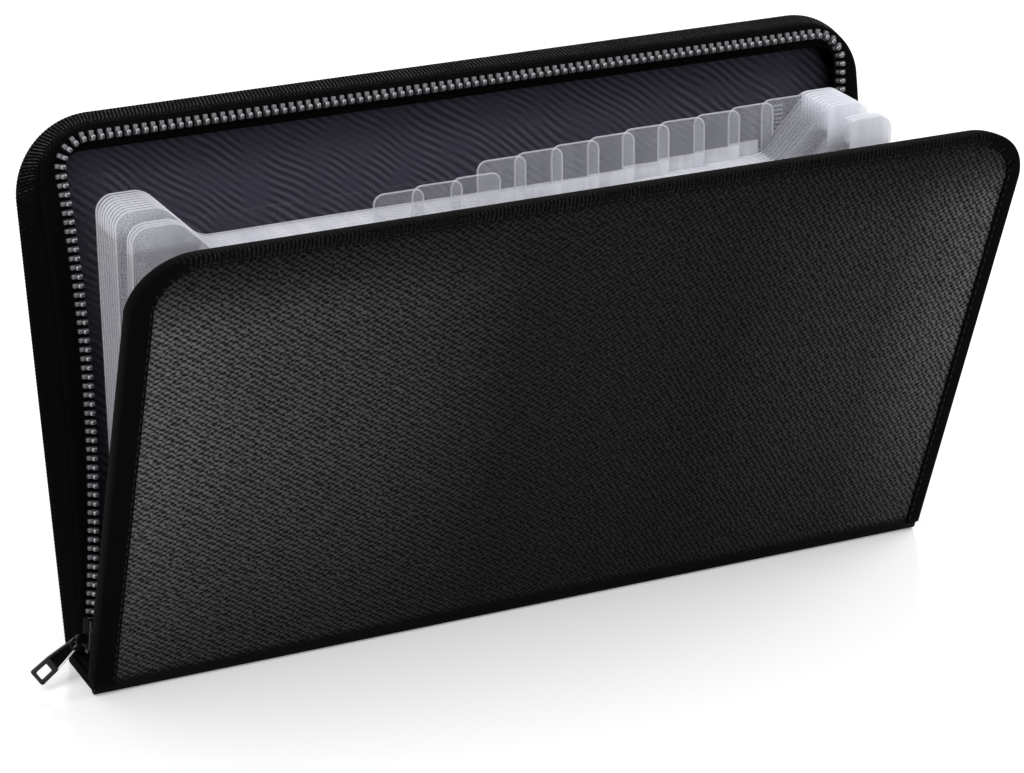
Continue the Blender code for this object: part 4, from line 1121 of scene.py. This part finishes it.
# %% Sheets
SHEET = 0.0004
POCKETS = 13
SHEET_HALF = LENGTH / 2 - 0.0164
SHEET_HEIGHT = HEIGHT - 0.0229
DIP = 0.0160
DIP_TOP = SHEET_HEIGHT - DIP
EAR_FLAT, EAR_SLOPE, EAR_CORNER, TAB_CORNER = 0.0140, 0.0160, 0.0050, 0.0030
EAR_START = SHEET_HALF - EAR_FLAT
SLOPE_FOOT = EAR_START - EAR_SLOPE
TAB_WIDTH, TAB_FIRST = 0.0155, -0.0400
TAB_PITCH = (SHEET_HALF - 0.0200 - TAB_FIRST) / (POCKETS - 2)
TAB_HEIGHT = DIP - 0.0010
SHEET_DEPTH = COVER + GAP + SHEET / 2
SHEET_PITCH = (THICKNESS - 2 * SHEET_DEPTH) / POCKETS
FLOOR = 0.0004
FOOT_Z = COVER + GAP + FLOOR + GAP
EDGE_GLOW = 0.00040            # width of the bright rim
LIT_EDGE = 0.0050              # height of the zone that glows under the lower middle edge
VEIL, RIM_SLOT, LIT, RIGHT_END_LIT = range(4)


def sheet(tab=None):
    """A sheet standing on Z = 0, with its faces in the slots of veil, rim, lit edge and the right end with
    painted light.
    """
    corners = [(-SHEET_HALF, 0), (SHEET_HALF, 0), (SHEET_HALF, SHEET_HEIGHT), (EAR_START, SHEET_HEIGHT)]
    soft = [(EAR_START, SHEET_HEIGHT), (-EAR_START, SHEET_HEIGHT), (-SLOPE_FOOT, DIP_TOP)]
    if tab is None or tab + TAB_WIDTH / 2 < SLOPE_FOOT:
        corners.append((SLOPE_FOOT, DIP_TOP))
        soft.append((SLOPE_FOOT, DIP_TOP))
    if tab is not None:
        low, high = tab - TAB_WIDTH / 2, tab + TAB_WIDTH / 2
        top = DIP_TOP + TAB_HEIGHT
        meets = DIP_TOP + DIP * max(0, high - SLOPE_FOOT) / EAR_SLOPE
        if meets < top:
            corners += [(high, meets), (high, top)]
            soft.append((high, top))
        else:
            corners.append((EAR_START - EAR_SLOPE * (DIP - TAB_HEIGHT) / DIP, top))
        corners += [(low, top), (low, DIP_TOP)]
        soft.append((low, top))
    corners += [(-SLOPE_FOOT, DIP_TOP), (-EAR_START, SHEET_HEIGHT), (-SHEET_HALF, SHEET_HEIGHT)]
    shape = face(corners)
    round_off(shape, [(SHEET_HALF, SHEET_HEIGHT), (-SHEET_HALF, SHEET_HEIGHT)], EAR_CORNER, 8)
    round_off(shape, soft, TAB_CORNER, 6)
    rim = bmesh.ops.inset_region(shape, faces=shape.faces[:], thickness=EDGE_GLOW, use_boundary=True,
                                 use_even_offset=True)
    for rim_face in rim["faces"]:
        rim_face.material_index = RIM_SLOT
    cut_squares(shape, 0.012)
    cut(shape, (0, 0, 1), (0, 0, DIP_TOP - LIT_EDGE))
    for x in (-SLOPE_FOOT, SLOPE_FOOT, EAR_START):
        cut(shape, (1, 0, 0), (x, 0, 0))
    # The right end's faces take the finish with painted light, as if lit from the right.
    for part in shape.faces:
        x, _, z = part.calc_center_median()
        slot = part.material_index
        on_tab = tab is not None and abs(x - tab) < TAB_WIDTH / 2 + EDGE_GLOW / 2
        if slot == VEIL and DIP_TOP - LIT_EDGE < z < DIP_TOP and abs(x) < SLOPE_FOOT:
            part.material_index = LIT
        elif x > EAR_START and (z > DIP_TOP - LIT_EDGE or slot == VEIL):
            part.material_index = RIGHT_END_LIT
        elif slot == RIM_SLOT and x > SLOPE_FOOT and z > DIP_TOP + EDGE_GLOW and not on_tab:
            part.material_index = VEIL
    measure_flat(shape)
    return shape


def bow(shape, seed):
    """Bends a sheet very slightly, more towards its top. The gussets hold its ends flat."""
    for vert in shape.verts:
        rise = (vert.co.z / SHEET_HEIGHT) ** 2
        free = clamped((SHEET_HALF - 0.010 - abs(vert.co.x)) / 0.025)
        vert.co.y += rise * free * 0.0011 * waves(vert.co.x, 0, seed, 0.08)


for half, node, name in ((front, "pocket_sheet_front", "pocket_front_wall"),
                         (back, "pocket_sheet_back", "pocket_back_wall")):
    shape = sheet()
    bmesh.ops.translate(shape, verts=shape.verts, vec=(0, SHEET_DEPTH, FOOT_Z - FOLD))
    piece(name, shape, half.place, half.body, [node],
          [glued_sheet, glued_rim, glued_sheet, glued_sheet], SHEET)
feet, leans = {}, {}
for number in range(1, POCKETS):
    word = "divider_%02d" % number
    fan = joints[word + "_fan"]
    feet[number], leans[number] = fan["pos_m"], -fan["axis"][0] * radians(fan["range_deg"][1])
    shape = sheet(TAB_FIRST + TAB_PITCH * (number - 1))
    bow(shape, 2.0 + 0.25 * number)
    place = Matrix.Translation(feet[number]) @ Matrix.Rotation(leans[number], 4, "X")
    piece("pocket_" + word, shape, place, word, [word],
          [clear_sheet, sheet_rim, lit_edge, right_end_painted_light_sheet], SHEET)

# %% [markdown]
# The rearmost sheet carries a weld along its tab: a column of small pressed dashes that turned milky. Each is
# a flat bevelled block that stands a tenth of a millimetre proud of both faces.

# %% Weld marks
WELD_ROWS, WELD_PITCH = 10, 0.0013
WELD_COLUMNS = ((-0.0020, 0.0032, 0.0), (0.0050, 0.0012, 0.0007))      # place, width and first height
shape = bmesh.new()
last_tab = TAB_FIRST + TAB_PITCH * (POCKETS - 2)
for x, width, first_z in WELD_COLUMNS:
    for row in range(WELD_ROWS):
        spot = (last_tab + x, 0, DIP_TOP + 0.0010 + first_z + row * WELD_PITCH)
        bevelled_block(shape, Matrix.Translation(spot), (width, SHEET + 0.0002, 0.0006), 0.00008)
piece("pocket_weld_marks", shape, place, "divider_12", [], [clear_sheet])

# %% [markdown]
# ## Gussets
# A strip of the same film is welded to the sheets' ends and folds inward once in each pocket, like the
# bellows of an accordion. Its zigzag is drawn once at the foot as a chain of edges and extruded upwards level
# by level. The film is soft, so it can't ride on the dividers, and each part rides on the spine.

# %% Gusset film
LEAF = 0.0002
LEAF_OFFSET = SHEET / 2 + 0.00024 + LEAF / 2
LEAF_HALF_FOLD = SHEET_PITCH / 2 - LEAF_OFFSET
WRAP_HALF = SHEET_HALF + GAP + LEAF / 2
GUSSET_FOOT = 0.0010
GUSSET_TOP = SHEET_HEIGHT - 0.0077
TOP_FOLD = 0.0083              # how far the widest pleat still folds in at its top
LEVELS = 8


def sheet_line(number):
    """Foot (Y, Z) and lean of any sheet, the two outer ones included."""
    if 0 < number < POCKETS:
        return Vector(feet[number][1:]), leans[number]
    half = front if number == 0 else back
    foot = half.place @ Vector((0, SHEET_DEPTH, FOOT_Z - FOLD))
    up = half.flat.to_3x3() @ Vector((0, 0, 1))
    return Vector((foot.y, foot.z)), atan2(-up.y, up.z)


def pleat_edges(first, height):
    """Where a pocket's pleat leaves its two sheets, as (Y, Z), and half the opening between its leaves."""
    near, far = (foot + ray(lean + pi / 2) * height + side * ray(lean) * LEAF_OFFSET
                 for (foot, lean), side in ((sheet_line(first), 1), (sheet_line(first + 1), -1)))
    return near, far, max(0, (far - near).length / 2 - LEAF_HALF_FOLD)


leaf_width = hypot(max(pleat_edges(first, GUSSET_TOP)[2] for first in range(POCKETS)), TOP_FOLD)


def gusset_points(side, first, last, height):
    """The zigzag from sheet first to sheet last at a height."""
    points = []
    for number in range(first, last):
        near, far, half_opening = pleat_edges(number, height)
        middle = (near + far) / 2
        across = (far - near).normalized() * LEAF_HALF_FOLD
        fold = WRAP_HALF - sqrt(leaf_width ** 2 - half_opening ** 2)
        points += [(WRAP_HALF, near), (fold, middle - across), (fold, middle + across), (WRAP_HALF, far)]
    return [(side * across, point.x, point.y) for across, point in points]


def gusset(name, side, first, last, node):
    count = 4 * (last - first)
    film = glued_film if last == POCKETS else gusset_film

    def level(height):
        points = gusset_points(side, first, last, height)
        return lambda stop: points[round(stop)]
    rise = (GUSSET_TOP - GUSSET_FOOT) / LEVELS
    tracks = [level(GUSSET_FOOT + rise * i) for i in range(LEVELS + 1)]
    obj = piece(name, strip(tracks, list(range(count))), Matrix.Identity(4), "spine", [node],
                [film], LEAF, sharp=20)
    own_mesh(obj)
    return obj


folding = (("front_pleat", 0, 1, "front_cover_fold", -0.00808, 0.043),
           ("front_pleats", 1, 4, "front_cover_fold", -0.0048, 0.336),
           ("back_pleats", 4, 12, "back_cover_fold", -0.0038, 0.71),
           ("back_pleat", 12, 13, "back_cover_fold", 0.0080, 0.073))
for word, side in (("left", -1), ("right", 1)):
    for part, first, last, joint, anchor, keep in folding:
        gusset("film_%s_%s" % (word, part), side, first, last,
               "gusset_%s_%s" % (word, part))

# %% [markdown]
# ## Spine
# The spine is a narrow slab of the same three layers. Its cloth and lining get soft edges and their weaves,
# and the raw ends are capped with binding. The boards inside the covers and the floor strip keep their solids
# and only get their finish.

# %% Spine
def slab(name, node, material, amount):
    """A layer with softened edges that fills its solid's box."""
    low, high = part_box(node)
    shape = bmesh.new()
    bevelled_block(shape, Matrix.Translation((low + high) / 2), high - low, amount, 3)
    measure_flat(shape, lambda spot: spot.y + spot.z)
    return piece(name, shape, Matrix.Identity(4), "spine", [node], [material])


slab("spine_outer_cloth", "spine_cloth", coated_cloth, 0.00025)
# The spine's lining takes the near-black wall lining instead of the cover's lining cloth: painted shade, deep
# in the fold.
slab("spine_inner_lining", "spine_lining", wall_lining, 0.0002)
for word in ("left", "right"):
    slab("spine_%s_binding" % word, "spine_end_binding_" + word, binding_tape, 0.0003)
for node, material in (("front_board", board), ("back_board", board), ("spine_board", board),
                       ("pocket_floor", clear_sheet)):
    mesh = frame["nodes"][node].data
    mesh.materials.clear()
    mesh.materials.append(material)
print("boards and floor strip keep their solids")

# %% [markdown]
# ## Measure
# The dressed model is meant to keep the size of the solid one, so both boxes are printed.

# %% Sizes of the dressed and the solid model
low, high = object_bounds()
print("visual size", [round(v * 1000, 1) for v in high - low], "mm, solid",
      [round(v * 1000, 1) for v in cad_high - cad_low], "mm")
